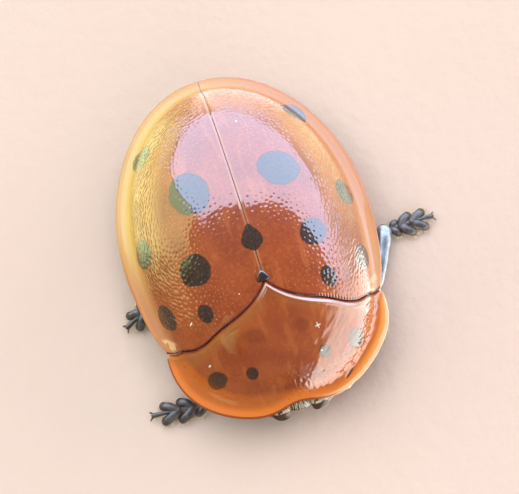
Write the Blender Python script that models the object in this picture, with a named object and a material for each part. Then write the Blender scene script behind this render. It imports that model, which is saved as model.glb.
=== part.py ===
"""Tortoise beetle, life size: a still model that stands on its six feet.

Sizes are in millimetres, with the head toward -Y, the beetle's left at +X and the
floor at z = 0. One empty carries every part: its scale turns the millimetres into
metres, and its place centres the model over the origin.
"""
import math

import bmesh
import bpy
from mathutils import Vector

# Scale and clearances
METRES_PER_MM = 0.001
GAP = 0.25              # air between parts that touch in life
WELD = 0.0001           # corners closer than this are one corner
CENTRE_OFFSET_X = -0.68  # shift that centres the spread feet over the origin
CENTRE_OFFSET_Y = -2.0   # shift that centres head and tail over the origin

# Dome that the elytra and the pronotum share
CROWN_Y = 2.2           # the highest point, behind the scutellum
HALF_WIDTH = 3.97       # widest half of the elytra
REAR_LENGTH = 5.45      # crown to the tip of the elytra
FRONT_LENGTH = 5.8      # crown to the front of the dome
RIM_Z = 1.5             # height of the rim above the floor
RIM_ARCH = 0.08         # how far the rim drops toward head and tail
CROWN_RISE = 3.25       # crown above the rim
FLANGE = 0.48           # flat margin outside the domed disc
DOME_POWER = 0.52
GROOVE_SOFTNESS = 0.04
FRONT_SQUARENESS = 0.5  # how much squarer the front half is than an ellipse
SQUARE_REACH = 4.0
SHELL_THICK = 0.5
RIM_THICK = 0.36
THIN_FROM = 0.8         # the plate starts to thin at this reach of the disc
THIN_OVER = 0.3

# Elytra
BASE_DEPTH = 1.0        # the base edge runs this far forward of the scutellum
BASE_CURVE = 0.85
SHOULDER_X = 3.47
SHOULDER_START = 2.5
SHOULDER_EASE = 0.37
SHOULDER_INSET = 0.12
SHOULDER_FADE = 0.3
BASE_TAPER = 6.4        # length of the ellipse that narrows the elytra forward
FOOT_SHARE = 0.7        # share of the way from suture to rim that the disc takes
OPEN_STEPS = 7          # mesh lines on the open disc
OPEN_SHARE = 0.52
CLOSE_STEPS = (0.6, 0.65, 0.68, FOOT_SHARE, 0.74, 0.8, 0.88, 1.0)
LENGTH_STEPS = 19       # mesh lines from base to tip

# Pronotum
PRONOTUM_HALF = 3.49
PRONOTUM_WIDEST_Y = -1.0
PRONOTUM_FRONT = 2.6
PRONOTUM_POWER = 2.2
NOTCH_DEPTH = 0.34      # hollow of the front edge over the head
NOTCH_HALF = 0.9
ROUND_SHARE = 0.94      # share of the rim that is round, the rest runs straight to the corner
GROOVE_END_X = 3.07     # the groove round the disc meets the hind edge here
ROUND_STEPS = (0.0, 0.1, 0.2, 0.3, 0.4, 0.5, 0.6, 0.7, 0.79, 0.87, ROUND_SHARE, 0.97, 1.0)

# Scutellum
SCUTELLUM_HALF = 0.28
SCUTELLUM_LENGTH = 0.42
SCUTELLUM_THICK = 0.36
SCUTELLUM_BEHIND = 0.07  # its front stands this far behind the seam
SCUTELLUM_PROUD = 0.04  # its top stands this far above the dome
SIDE_SHARE = 0.85       # its sides have drawn in this far
SIDE_LENGTH = 0.12      # at this distance behind its front
TIP_HALF = 0.06
NOTCH_MARGIN = 0.42     # the wing cases are cut back this far round it
NOTCH_TIP_MARGIN = 1.75 * NOTCH_MARGIN

# Trunk under the shell
TRUNK_DEPTH_BELOW_DOME = SHELL_THICK + GAP + 0.07
KEEL_Z = 0.5            # depth of the breast below the rim
KEEL_HALF = 1.3
BELLY_HALF = 1.8
PROTHORAX_HALF = 1.0
PROTHORAX_FRONT_Y = -2.3
PROTHORAX_REAR_Y = -0.45
THORAX_REAR_Y = 2.75
ABDOMEN_REAR_Y = 6.55
VENTRITES = 5
VENTRITE_STEP = 0.07    # how far the belly is drawn in between two ventrites
VENTRITE_PROFILE = ((0.03, 1.0), (0.25, 0.0), (0.85, 0.0))  # place along one, share of the step
FIRST_GIRTH = 0.9       # the abdomen starts slightly slimmer
TRUNK_SIDES = 24
TRUNK_TAPER_LIMIT = 0.995
BACK_SQUARENESS = 0.3   # the smaller, the fuller the trunk is under the dome
BELLY_SQUARENESS = 0.5
END_INSET = 0.2         # the trunk's ends are rounded over this length
END_PROFILE = ((0.0, 0.8), (0.4, 0.93))  # place along it, share of the full girth

# Head
HEAD_CENTRE = Vector((0.0, -2.98, 0.92))
HEAD_RADII = Vector((0.56, 0.46, 0.42))
NECK_RADIUS = 0.34
NECK_END_Y = PROTHORAX_FRONT_Y - GAP
EYE_CENTRE = Vector((0.6, -3.38, 1.08))
EYE_RADII = Vector((0.28, 0.28, 0.3))
EYE_INNER_X = 0.45
MOUTH = Vector((0.0, -3.3, 0.42))
BROW = Vector((0.0, -3.22, 0.82))
FACE_RADII = (0.32, 0.24)
NECK_RISE = (0.05, 0.1)  # the neck's two ends stand this far above the head's centre
JAW = (Vector((0.12, 0.0, 0.02)), Vector((0.04, -0.08, -0.14)))  # root and tip, from the mouth
JAW_RADII = (0.13, 0.08)
PALP = (Vector((0.16, 0.12, 0.02)), Vector((0.26, 0.06, -0.16)))
PALP_RADII = (0.1, 0.08)

# Antennae
ANTENNA_JOINTS = 11
ANTENNA_RADIUS = 0.24
JOINT_WAIST = 0.86      # girth between two joints
STALK_GIRTH = 0.9       # girth of the first joints
CLUB_SWELL = 0.12       # what the outer joints add to it
CLUB_START = 0.5
CLUB_REACH = 0.2
ANTENNA_ROUTE = (
    Vector((0.98, -3.14, 0.5)),
    Vector((1.4, -2.72, 0.6)),
    Vector((1.62, -2.1, 1.0)),
    Vector((1.66, -1.5, 1.48)),
    Vector((1.58, -0.95, 1.7)),
)

# Legs
COXA_RADIUS = 0.4
LIMB_RADIUS = 0.25
THIGH_RADIUS = 0.31
SHIN_FLARE = 1.08       # girth of the shin at the foot
LEG_SIDES = 10
FOOT_SIDES = 8
ANKLE_Z = 0.46
SOLE_CENTRE_Z = 0.22
HEEL_RADIUS = 0.15
HEEL_REACH = SHIN_FLARE * LIMB_RADIUS + GAP + HEEL_RADIUS - 0.06  # ankle to the foot's first joint
STEM_END = 0.75         # the stem runs this share of the foot
STEM_RADIUS = 0.14
LOBE_WIDTH = 0.19
LOBE_HEIGHT = 0.28
LOBE_WAIST = 0.8
LOBE_ROOT = 0.06        # the two lobes of a joint start this far from its midline
LOBES = ((0.06, 0.33, 0.19), (0.38, 0.66, 0.18))  # root and tip along the foot, tip off its midline
CLAW = ((0.72, 0.04, 0.0), (0.9, 0.1, 0.0), (0.97, 0.15, -0.06))  # along, off the midline, up
CLAW_RADII = (0.1, 0.08, 0.05)
CAP_RINGS = ((0.55, 0.83), (0.88, 0.48))  # lean and girth of the rings that round a limb's end


class Leg:
    """Joint centres of one leg, from the body out to the tips of the claws."""

    def __init__(self, name, hip, knee, ankle, toe):
        self.name = name
        self.hip = Vector(hip)
        self.knee = Vector(knee)
        self.ankle = Vector((*ankle, ANKLE_Z))
        self.toe = Vector((*toe, SOLE_CENTRE_Z))


LEGS = (
    Leg("front_left", (0.5, -1.5, 0.88), (1.6, -0.45, 0.68), (1.95, -1.95), (3.4, -1.25)),
    Leg("front_right", (-0.5, -1.5, 0.88), (-2.2, -0.85, 0.7), (-2.5, -2.33), (-4.54, -2.08)),
    Leg("middle_left", (0.85, 0.7, 0.88), (3.4, -0.5, 0.66), (4.25, 1.42), (5.93, 1.45)),
    Leg("middle_right", (-0.85, 0.7, 0.88), (-3.1, -0.3, 0.66), (-2.9, 1.6), (-4.5, 0.87)),
    Leg("hind_left", (0.8, 2.3, 0.88), (2.85, 2.95, 0.7), (2.75, 4.75), (2.5, 6.3)),
    Leg("hind_right", (-0.8, 2.3, 0.88), (-2.75, 3.2, 0.7), (-2.9, 4.95), (-2.15, 6.35)),
)

# Colours, roughness
ORANGE = (0.62, 0.15, 0.035, 1.0)
AMBER = (0.6, 0.17, 0.03, 1.0)
INK = (0.012, 0.012, 0.016, 1.0)
UMBER = (0.05, 0.028, 0.02, 1.0)


def clear_scene():
    """Empty the scene of whatever it opened with."""
    for thing in list(bpy.data.objects):
        bpy.data.objects.remove(thing, do_unlink=True)


def finish(name, colour, roughness):
    """One coat of colour, shared by the parts that have it."""
    material = bpy.data.materials.get(name)
    if material is None:
        material = bpy.data.materials.new(name)
        material.use_nodes = True
        shader = material.node_tree.nodes["Principled BSDF"]
        shader.inputs["Base Color"].default_value = colour
        shader.inputs["Roughness"].default_value = roughness
        shader.inputs["Metallic"].default_value = 0.0
    return material


def smooth_step(value):
    """Ease from 0 to 1 as the value goes from 0 to 1."""
    value = min(max(value, 0.0), 1.0)
    return value * value * (3.0 - 2.0 * value)


# Shapes of the shell, as functions of the place in plan

def dome_radius(x, y):
    """0 at the crown, 1 on the smooth outline of the whole shell."""
    length = REAR_LENGTH if y > CROWN_Y else FRONT_LENGTH
    power = 2.0 + FRONT_SQUARENESS * smooth_step((CROWN_Y - y) / SQUARE_REACH)
    across = (abs(x) / HALF_WIDTH) ** power
    along = (abs(y - CROWN_Y) / length) ** power
    return (across + along) ** (1.0 / power)


def disc_reach(x, y):
    """Place between crown (0) and the foot of the domed disc (1); above 1 on the flange."""
    radius = dome_radius(x, y)
    if radius < WELD:
        return 0.0
    outline_distance = math.hypot(x, y - CROWN_Y) / radius
    return radius / (1.0 - FLANGE / outline_distance)


def dome_z(x, y):
    """Height of the shell's upper face."""
    inside = 1.0 - disc_reach(x, y) ** 2
    softened = (inside + math.hypot(inside, GROOVE_SOFTNESS)) / 2.0
    arch = RIM_ARCH * ((y - CROWN_Y) / REAR_LENGTH) ** 2
    return RIM_Z - arch + CROWN_RISE * softened ** DOME_POWER


def dome_normal(x, y):
    """Direction that the upper face looks in."""
    step = 0.01
    slope_x = (dome_z(x + step, y) - dome_z(x - step, y)) / (2.0 * step)
    slope_y = (dome_z(x, y + step) - dome_z(x, y - step)) / (2.0 * step)
    return Vector((-slope_x, -slope_y, 1.0)).normalized()


def base_edge(x):
    """Y of the seam between pronotum and elytra."""
    forward = BASE_DEPTH * (1.0 - math.exp(-abs(x) / BASE_CURVE))
    shoulder = max(abs(x) - SHOULDER_START, 0.0)
    return SHOULDER_EASE * shoulder ** 2 - forward


def elytron_rim(t):
    """Rim of the left elytron, from the shoulder (t = 0) to the tip (t = 1)."""
    start = math.asin((base_edge(SHOULDER_X) - CROWN_Y) / BASE_TAPER)
    angle = start + (math.pi / 2.0 - start) * t
    length = REAR_LENGTH if angle > 0.0 else BASE_TAPER
    y = CROWN_Y + length * math.sin(angle)
    inset = SHOULDER_INSET * math.exp((base_edge(SHOULDER_X) - y) / SHOULDER_FADE)
    return Vector((HALF_WIDTH * math.cos(angle) - inset, y, 0.0))


def disc_foot(rim):
    """Foot of the disc beside a point of the rim."""
    crown = Vector((0.0, CROWN_Y, 0.0))
    outward = rim - crown
    return crown + outward * (1.0 - FLANGE / outward.length)


def elytron_point(s, t):
    """Plan of the left elytron: s from suture over the disc's foot to the rim, t from base to tip."""
    seam = GAP / 2.0
    start_y = base_edge(seam)
    end_y = disc_foot(Vector((seam, CROWN_Y + REAR_LENGTH, 0.0))).y
    suture = Vector((seam, start_y + (end_y - start_y) * t, 0.0))
    rim = elytron_rim(t)
    rim.x = max(rim.x, seam)
    foot = disc_foot(rim)
    foot.x = max(foot.x, seam)
    point = across_disc(suture, foot, rim, s)
    corner = elytron_rim(0.0)
    chord = across_disc(Vector((seam, start_y, 0.0)), disc_foot(corner), corner, s)
    point.y += (base_edge(chord.x) - chord.y) * (1.0 - t) ** 3
    return point


def across_disc(inner, foot, rim, s):
    """Point on the way from inside the disc over its foot to the rim."""
    if s < FOOT_SHARE:
        return inner.lerp(foot, s / FOOT_SHARE)
    return foot.lerp(rim, (s - FOOT_SHARE) / (1.0 - FOOT_SHARE))


def pronotum_rim(s):
    """Rim of the pronotum, from the right hind corner (-1) round the head to the left (1)."""
    turn = abs(s) / ROUND_SHARE
    side = math.copysign(1.0, s)
    corner_y = base_edge(PRONOTUM_HALF) - GAP
    if turn > 1.0:
        straight = (abs(s) - ROUND_SHARE) / (1.0 - ROUND_SHARE)
        y = PRONOTUM_WIDEST_Y + (corner_y - PRONOTUM_WIDEST_Y) * straight
        return Vector((side * PRONOTUM_HALF, y, 0.0))
    angle = turn * math.pi / 2.0
    bend = 2.0 / PRONOTUM_POWER
    x = PRONOTUM_HALF * math.sin(angle) ** bend
    y = PRONOTUM_WIDEST_Y - PRONOTUM_FRONT * math.cos(angle) ** bend
    y += NOTCH_DEPTH * math.exp(-(x / NOTCH_HALF) ** 2)
    return Vector((side * x, y, 0.0))


def pronotum_point(s, t):
    """Plan of the pronotum: s round the rim, t from the hind edge over the disc's foot to the rim."""
    rim = pronotum_rim(s)
    foot = disc_foot(rim)
    foot.x = math.copysign(min(abs(foot.x), GROOVE_END_X), s)
    hind = Vector((foot.x, base_edge(foot.x) - GAP, 0.0))
    foot.y = min(foot.y, hind.y)
    return across_disc(hind, foot, rim, t)


# Mesh building

def new_object(name, builder):
    """Close, orient and store a mesh that bmesh has built."""
    bmesh.ops.remove_doubles(builder, verts=builder.verts, dist=WELD)
    bmesh.ops.recalc_face_normals(builder, faces=builder.faces)
    mesh = bpy.data.meshes.new(name)
    builder.to_mesh(mesh)
    builder.free()
    thing = bpy.data.objects.new(name, mesh)
    bpy.context.scene.collection.objects.link(thing)
    return thing


def skin_grid(builder, rows):
    """Quads through a grid of points; returns the grid of corners."""
    corners = [[builder.verts.new(point) for point in row] for row in rows]
    for lower, upper in zip(corners, corners[1:]):
        for i in range(len(lower) - 1):
            builder.faces.new((lower[i], lower[i + 1], upper[i + 1], upper[i]))
    return corners


def shell(name, plan, s_values, t_values):
    """Curved plate: its upper face on the dome, its lower face a thickness below."""
    builder = bmesh.new()
    top_rows = []
    bottom_rows = []
    for t in t_values:
        top = []
        bottom = []
        for s in s_values:
            point = plan(s, t)
            point.z = dome_z(point.x, point.y)
            toward_rim = smooth_step((disc_reach(point.x, point.y) - THIN_FROM) / THIN_OVER)
            thick = SHELL_THICK + (RIM_THICK - SHELL_THICK) * toward_rim
            top.append(point)
            bottom.append(point - thick * dome_normal(point.x, point.y))
        top_rows.append(top)
        bottom_rows.append(bottom)
    upper = skin_grid(builder, top_rows)
    lower = skin_grid(builder, bottom_rows)
    for i in range(len(s_values) - 1):
        builder.faces.new((upper[0][i], upper[0][i + 1], lower[0][i + 1], lower[0][i]))
        builder.faces.new((upper[-1][i], upper[-1][i + 1], lower[-1][i + 1], lower[-1][i]))
    for j in range(len(t_values) - 1):
        builder.faces.new((upper[j][0], upper[j + 1][0], lower[j + 1][0], lower[j][0]))
        builder.faces.new((upper[j][-1], upper[j + 1][-1], lower[j + 1][-1], lower[j][-1]))
    return new_object(name, builder)


def loft(name, rings):
    """Closed skin through rings of equal counts, flat at both ends."""
    builder = bmesh.new()
    corners = [[builder.verts.new(point) for point in ring] for ring in rings]
    count = len(rings[0])
    for near, far in zip(corners, corners[1:]):
        for i in range(count):
            j = (i + 1) % count
            builder.faces.new((near[i], near[j], far[j], far[i]))
    builder.faces.new(corners[0])
    builder.faces.new(corners[-1])
    return new_object(name, builder)


def tube(name, centres, radii, sides, height=1.0, cap=True):
    """Round limb along its centres, with rounded ends; height stretches it upright."""
    first = (centres[0] - centres[1]).normalized()
    last = (centres[-1] - centres[-2]).normalized()
    path = list(zip(centres, radii))
    if cap:
        for lean, shrink in CAP_RINGS:
            path.insert(0, (centres[0] + first * radii[0] * lean, radii[0] * shrink))
            path.append((centres[-1] + last * radii[-1] * lean, radii[-1] * shrink))
    rings = []
    for index, (centre, radius) in enumerate(path):
        before = path[max(index - 1, 0)][0]
        after = path[min(index + 1, len(path) - 1)][0]
        along = (after - before).normalized()
        across = along.cross(Vector((0.0, 0.0, 1.0))).normalized()
        upright = across.cross(along).normalized()
        ring = []
        for i in range(sides):
            angle = 2.0 * math.pi * (i + 0.5) / sides
            ring.append(centre + radius * (across * math.cos(angle) + upright * (height * math.sin(angle))))
        rings.append(ring)
    return loft(name, rings)


def ball(name, centre, radii, sides=14, belts=9):
    """Closed ellipsoid."""
    builder = bmesh.new()
    bmesh.ops.create_uvsphere(builder, u_segments=sides, v_segments=belts, radius=1.0)
    for corner in builder.verts:
        corner.co = Vector((corner.co[i] * radii[i] + centre[i] for i in range(3)))
    return new_object(name, builder)


def keep_largest(mesh):
    """Drop every surface of the mesh but the one that holds most room."""
    builder = bmesh.new()
    builder.from_mesh(mesh)
    left = set(builder.faces)
    surfaces = []
    while left:
        front = [left.pop()]
        surface = list(front)
        while front:
            face = front.pop()
            for edge in face.edges:
                for neighbour in edge.link_faces:
                    if neighbour in left:
                        left.remove(neighbour)
                        front.append(neighbour)
                        surface.append(neighbour)
        surfaces.append(surface)
    surfaces.sort(key=surface_volume, reverse=True)
    for surface in surfaces[1:]:
        bmesh.ops.delete(builder, geom=surface, context="FACES")
    bmesh.ops.remove_doubles(builder, verts=builder.verts, dist=WELD)
    builder.to_mesh(mesh)
    builder.free()


def surface_volume(faces):
    """Room inside a closed surface."""
    total = 0.0
    for face in faces:
        corners = [corner.co for corner in face.verts]
        for second, third in zip(corners[1:], corners[2:]):
            total += corners[0].dot(second.cross(third)) / 6.0
    return abs(total)


def combine(body, pieces, operation):
    """Join the pieces to the body, or cut them from it, in one Boolean."""
    group = bpy.data.collections.new("pieces")
    for piece in pieces:
        group.objects.link(piece)
    change = body.modifiers.new("combine", "BOOLEAN")
    change.operation = operation
    change.operand_type = "COLLECTION"
    change.collection = group
    change.solver = "EXACT"
    bpy.context.view_layer.update()
    graph = bpy.context.evaluated_depsgraph_get()
    mesh = bpy.data.meshes.new_from_object(body.evaluated_get(graph))
    body.modifiers.remove(change)
    old = body.data
    body.data = mesh
    mesh.name = body.name
    bpy.data.meshes.remove(old)
    for piece in pieces:
        bpy.data.objects.remove(piece, do_unlink=True)
    bpy.data.collections.remove(group)
    keep_largest(mesh)
    return body


def slice_off(body, point, outward):
    """Cut away what lies beyond a plane and close the flat."""
    builder = bmesh.new()
    builder.from_mesh(body.data)
    everything = list(builder.verts) + list(builder.edges) + list(builder.faces)
    bmesh.ops.bisect_plane(builder, geom=everything, dist=WELD, plane_co=point,
                           plane_no=outward, clear_outer=True)
    open_edges = [edge for edge in builder.edges if edge.is_boundary]
    bmesh.ops.holes_fill(builder, edges=open_edges, sides=0)
    bmesh.ops.recalc_face_normals(builder, faces=builder.faces)
    builder.to_mesh(body.data)
    builder.free()
    return body


# Parts of the shell

def even(count, first=0.0, last=1.0):
    """Evenly spaced values, ends included."""
    return [first + (last - first) * i / (count - 1) for i in range(count)]


def across_steps():
    """Steps from inside the disc to the rim, closer where the disc falls to the flange."""
    return even(OPEN_STEPS, 0.0, OPEN_SHARE) + list(CLOSE_STEPS)


def make_elytron(name, side, carrier):
    """One wing case, notched for the scutellum."""
    case = shell(name, elytron_point, across_steps(), even(LENGTH_STEPS))
    notch = scutellum_block(name + "_notch", NOTCH_MARGIN, NOTCH_TIP_MARGIN, 1.0)
    combine(case, [notch], "DIFFERENCE")
    if side < 0:
        for corner in case.data.vertices:
            corner.co.x = -corner.co.x
        case.data.flip_normals()
    dress(case, finish("wing_case_orange", ORANGE, 0.25), carrier)


def scutellum_block(name, margin, tip_margin, thick):
    """Small upright block, triangular in plan, its point toward the tail."""
    half = SCUTELLUM_HALF + margin
    front = base_edge(0.0) + SCUTELLUM_BEHIND - margin
    tip = base_edge(0.0) + SCUTELLUM_BEHIND + SCUTELLUM_LENGTH + tip_margin
    side = SIDE_SHARE * half
    side_y = front + SIDE_LENGTH
    top = dome_z(0.0, front) + margin + SCUTELLUM_PROUD
    plan = ((-half, front), (half, front), (side, side_y), (TIP_HALF, tip), (-TIP_HALF, tip),
            (-side, side_y))
    rings = []
    for z in (top - thick - margin, top):
        rings.append([Vector((x, y, z)) for x, y in plan])
    return loft(name, rings)


def make_scutellum(carrier):
    """The small shield between the wing cases."""
    shield = scutellum_block("scutellum", 0.0, 0.0, SCUTELLUM_THICK)
    dress(shield, finish("ink_black", INK, 0.3), carrier)


def make_pronotum(carrier):
    """The shield over head and forebody, cut clear of the head and the eyes."""
    s_values = [-s for s in reversed(ROUND_STEPS[1:])] + list(ROUND_STEPS)
    shield = shell("pronotum", pronotum_point, s_values, across_steps())
    clear = Vector((GAP, GAP, GAP))
    cutters = [ball("head_room", HEAD_CENTRE, HEAD_RADII + clear)]
    for side in (-1.0, 1.0):
        centre = Vector((side * EYE_CENTRE.x, EYE_CENTRE.y, EYE_CENTRE.z))
        cutters.append(ball("eye_room", centre, EYE_RADII + clear))
    combine(shield, cutters, "DIFFERENCE")
    dress(shield, finish("shield_amber", AMBER, 0.3), carrier)


# Trunk

def trunk_ring(y, half_scale, half_limit, keel, keel_half):
    """Upright ring of the trunk: arched under the dome, keeled below."""
    length = REAR_LENGTH if y > CROWN_Y else FRONT_LENGTH
    disc_half = HALF_WIDTH - FLANGE - TRUNK_DEPTH_BELOW_DOME
    disc_length = length - FLANGE - TRUNK_DEPTH_BELOW_DOME
    along = min(abs(y - CROWN_Y) / disc_length, TRUNK_TAPER_LIMIT)
    shrink = math.sqrt(1.0 - along ** 2)
    half = min(disc_half * shrink * half_scale, half_limit)
    arch = (CROWN_RISE - TRUNK_DEPTH_BELOW_DOME) * shrink * half_scale
    ring = []
    for i in range(TRUNK_SIDES):
        angle = 2.0 * math.pi * i / TRUNK_SIDES
        x = half * math.cos(angle)
        if math.sin(angle) > 0.0:
            under_dome = math.sqrt(max(1.0 - (x / (disc_half * shrink)) ** 2, 0.0))
            z = RIM_Z + arch * under_dome * math.sin(angle) ** BACK_SQUARENESS
        else:
            fade = math.sqrt(max(1.0 - (x / half) ** 2, 0.0)) ** BELLY_SQUARENESS
            z = RIM_Z - keel * half_scale * math.exp(-(x / keel_half) ** 2) * fade
        ring.append(Vector((x, y, z)))
    return ring


def round_ends(first, last, steps):
    """Stations along the trunk with the share of full girth that each has."""
    stations = [(first + END_INSET * place, girth) for place, girth in END_PROFILE]
    for y in even(steps, first + END_INSET, last - END_INSET):
        stations.append((y, 1.0))
    stations += [(last - END_INSET * place, girth) for place, girth in reversed(END_PROFILE)]
    return stations


def coxae(tag, legs):
    """Hip bulges under the trunk."""
    bulges = []
    for leg in legs:
        bulges.append(ball(tag + leg.name, leg.hip, Vector((1.0, 1.0, 1.0)) * COXA_RADIUS, 12, 8))
    return bulges


def make_prothorax(carrier):
    """Forebody under the shield, with the front hips."""
    rings = []
    for y, girth in round_ends(PROTHORAX_FRONT_Y, PROTHORAX_REAR_Y, 5):
        rings.append(trunk_ring(y, girth, PROTHORAX_HALF, KEEL_Z, KEEL_HALF))
    trunk = loft("prothorax", rings)
    combine(trunk, coxae("front_hip_", LEGS[0:2]), "UNION")
    dress(trunk, finish("underside_umber", UMBER, 0.45), carrier)


def make_thorax(carrier):
    """Middle and hind breast, with the other four hips."""
    rings = []
    for y, girth in round_ends(PROTHORAX_REAR_Y + GAP, THORAX_REAR_Y, 8):
        rings.append(trunk_ring(y, girth, HALF_WIDTH, KEEL_Z, KEEL_HALF))
    trunk = loft("thorax", rings)
    combine(trunk, coxae("rear_hip_", LEGS[2:6]), "UNION")
    dress(trunk, finish("underside_umber", UMBER, 0.45), carrier)


def make_abdomen(carrier):
    """Hind body, its underside stepped into ventrites."""
    first = THORAX_REAR_Y + GAP
    pitch = (ABDOMEN_REAR_Y - first) / VENTRITES
    rings = []
    for segment in range(VENTRITES):
        start = first + segment * pitch
        for place, step in VENTRITE_PROFILE:
            keel = KEEL_Z - VENTRITE_STEP * step
            girth = FIRST_GIRTH if segment == 0 and step > 0.0 else 1.0
            rings.append(trunk_ring(start + place * pitch, girth, HALF_WIDTH, keel, BELLY_HALF))
    body = loft("abdomen", rings)
    dress(body, finish("underside_umber", UMBER, 0.45), carrier)


# Head

def make_head(carrier):
    """Head capsule with neck, face, jaws and feelers of the mouth, and two eye sockets."""
    skull = ball("head", HEAD_CENTRE, HEAD_RADII, 18, 12)
    neck_start = Vector((0.0, HEAD_CENTRE.y, HEAD_CENTRE.z + NECK_RISE[0]))
    neck_end = Vector((0.0, NECK_END_Y, HEAD_CENTRE.z + NECK_RISE[1]))
    pieces = [tube("neck", [neck_start, neck_end], [NECK_RADIUS, NECK_RADIUS], 12, cap=False)]
    pieces.append(tube("face", [BROW, MOUTH], FACE_RADII, 12))
    for side in (-1.0, 1.0):
        for name, stations, radii in (("jaw", JAW, JAW_RADII), ("palp", PALP, PALP_RADII)):
            centres = [MOUTH + Vector((side * at.x, at.y, at.z)) for at in stations]
            pieces.append(tube(name, centres, radii, 8))
    combine(skull, pieces, "UNION")
    clear = Vector((GAP, GAP, GAP))
    sockets = []
    for side in (-1.0, 1.0):
        centre = Vector((side * EYE_CENTRE.x, EYE_CENTRE.y, EYE_CENTRE.z))
        socket = ball("socket", centre, EYE_RADII + clear, 16, 10)
        slice_off(socket, Vector((side * (EYE_INNER_X - GAP), 0.0, 0.0)), Vector((-side, 0.0, 0.0)))
        sockets.append(socket)
    combine(skull, sockets, "DIFFERENCE")
    dress(skull, finish("underside_umber", UMBER, 0.45), carrier)


def make_eye(name, side, carrier):
    """Bulging eye, flat toward the head."""
    centre = Vector((side * EYE_CENTRE.x, EYE_CENTRE.y, EYE_CENTRE.z))
    eye = ball(name, centre, EYE_RADII, 16, 10)
    slice_off(eye, Vector((side * EYE_INNER_X, 0.0, 0.0)), Vector((-side, 0.0, 0.0)))
    dress(eye, finish("eye_black", INK, 0.12), carrier)


def along_route(route, share):
    """Point on the smooth curve through the route's points."""
    place = share * (len(route) - 1)
    index = min(int(place), len(route) - 2)
    t = place - index
    p1 = route[index]
    p2 = route[index + 1]
    p0 = route[index - 1] if index > 0 else p1 * 2.0 - p2
    p3 = route[index + 2] if index + 2 < len(route) else p2 * 2.0 - p1
    bend = p0 * -1.0 + p1 * 3.0 - p2 * 3.0 + p3
    lean = p0 * 2.0 - p1 * 5.0 + p2 * 4.0 - p3
    return (p1 * 2.0 + (p2 - p0) * t + lean * t ** 2 + bend * t ** 3) * 0.5


def make_antenna(name, side, carrier):
    """Feeler of eleven joints, folded back under the shield."""
    route = [Vector((side * point.x, point.y, point.z)) for point in ANTENNA_ROUTE]
    centres = []
    radii = []
    steps = ANTENNA_JOINTS * 2
    for step in range(steps + 1):
        share = step / steps
        waist = JOINT_WAIST if step % 2 == 0 else 1.0
        club = STALK_GIRTH + CLUB_SWELL * smooth_step((share - CLUB_START) / CLUB_REACH)
        centres.append(along_route(route, share))
        radii.append(ANTENNA_RADIUS * waist * club)
    feeler = tube(name, centres, radii, FOOT_SIDES)
    dress(feeler, finish("underside_umber", UMBER, 0.45), carrier)


# Legs

def set_back(first, middle, last, reach):
    """How far two limbs stop short of the joint between them, to leave their gap."""
    bend = (first - middle).angle(last - middle)
    return reach / (2.0 * math.sin(bend / 2.0))


def make_leg(leg, carrier):
    """Thigh, shin and foot of one leg."""
    at_knee = set_back(leg.hip, leg.knee, leg.ankle, 2.0 * LIMB_RADIUS + GAP)
    thigh_way = (leg.knee - leg.hip).normalized()
    shin_way = (leg.ankle - leg.knee).normalized()
    thigh_start = leg.hip + thigh_way * (COXA_RADIUS + GAP + LIMB_RADIUS)
    thigh_end = leg.knee - thigh_way * at_knee
    shin_start = leg.knee + shin_way * at_knee
    make_thigh(leg.name, thigh_start, thigh_end, carrier)
    make_shin(leg.name, shin_start, leg.ankle, carrier)
    make_foot(leg, carrier)


def make_thigh(name, start, end, carrier):
    """Femur, fullest in its middle."""
    centres = [start.lerp(end, share) for share in (0.0, 0.3, 0.65, 1.0)]
    radii = [LIMB_RADIUS, THIGH_RADIUS, THIGH_RADIUS, LIMB_RADIUS]
    thigh = tube("femur_" + name, centres, radii, LEG_SIDES)
    dress(thigh, finish("ink_black", INK, 0.3), carrier)


def make_shin(name, start, end, carrier):
    """Tibia, widening toward the foot."""
    centres = [start.lerp(end, share) for share in (0.0, 0.5, 1.0)]
    radii = [LIMB_RADIUS, LIMB_RADIUS, LIMB_RADIUS * SHIN_FLARE]
    shin = tube("tibia_" + name, centres, radii, LEG_SIDES)
    dress(shin, finish("ink_black", INK, 0.3), carrier)


def make_foot(leg, carrier):
    """Tarsus: a stem, two pairs of lobes on flat soles, and two claws."""
    heel = Vector((leg.ankle.x, leg.ankle.y, SOLE_CENTRE_Z))
    way = (leg.toe - heel).normalized()
    side = Vector((-way.y, way.x, 0.0))
    start = heel + way * HEEL_REACH
    length = (leg.toe - start).length

    def spot(along, across, up=0.0):
        return start + way * (along * length) + side * across + Vector((0.0, 0.0, up))

    foot = tube("tarsus_" + leg.name, [spot(0.0, 0.0), spot(STEM_END, 0.0)],
                [HEEL_RADIUS, STEM_RADIUS], FOOT_SIDES, LOBE_HEIGHT / HEEL_RADIUS)
    pieces = []
    for hand in (-1.0, 1.0):
        for root, tip, spread in LOBES:
            centres = [spot(root, hand * LOBE_ROOT), spot(tip, hand * spread)]
            pieces.append(tube("lobe", centres, [LOBE_WIDTH * LOBE_WAIST, LOBE_WIDTH], FOOT_SIDES,
                               LOBE_HEIGHT / LOBE_WIDTH))
        centres = [spot(along, hand * across, up) for along, across, up in CLAW]
        pieces.append(tube("claw", centres, CLAW_RADII, FOOT_SIDES))
    combine(foot, pieces, "UNION")
    slice_off(foot, Vector((0.0, 0.0, 0.0)), Vector((0.0, 0.0, -1.0)))
    dress(foot, finish("ink_black", INK, 0.3), carrier)


# Assembly

def dress(thing, material, carrier):
    """Give a part its colour and smooth shading, and hang it on the carrier."""
    thing.data.materials.clear()
    thing.data.materials.append(material)
    thing.data.shade_smooth()
    thing.data.set_sharp_from_angle(angle=math.radians(40.0))
    thing.parent = carrier


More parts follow.
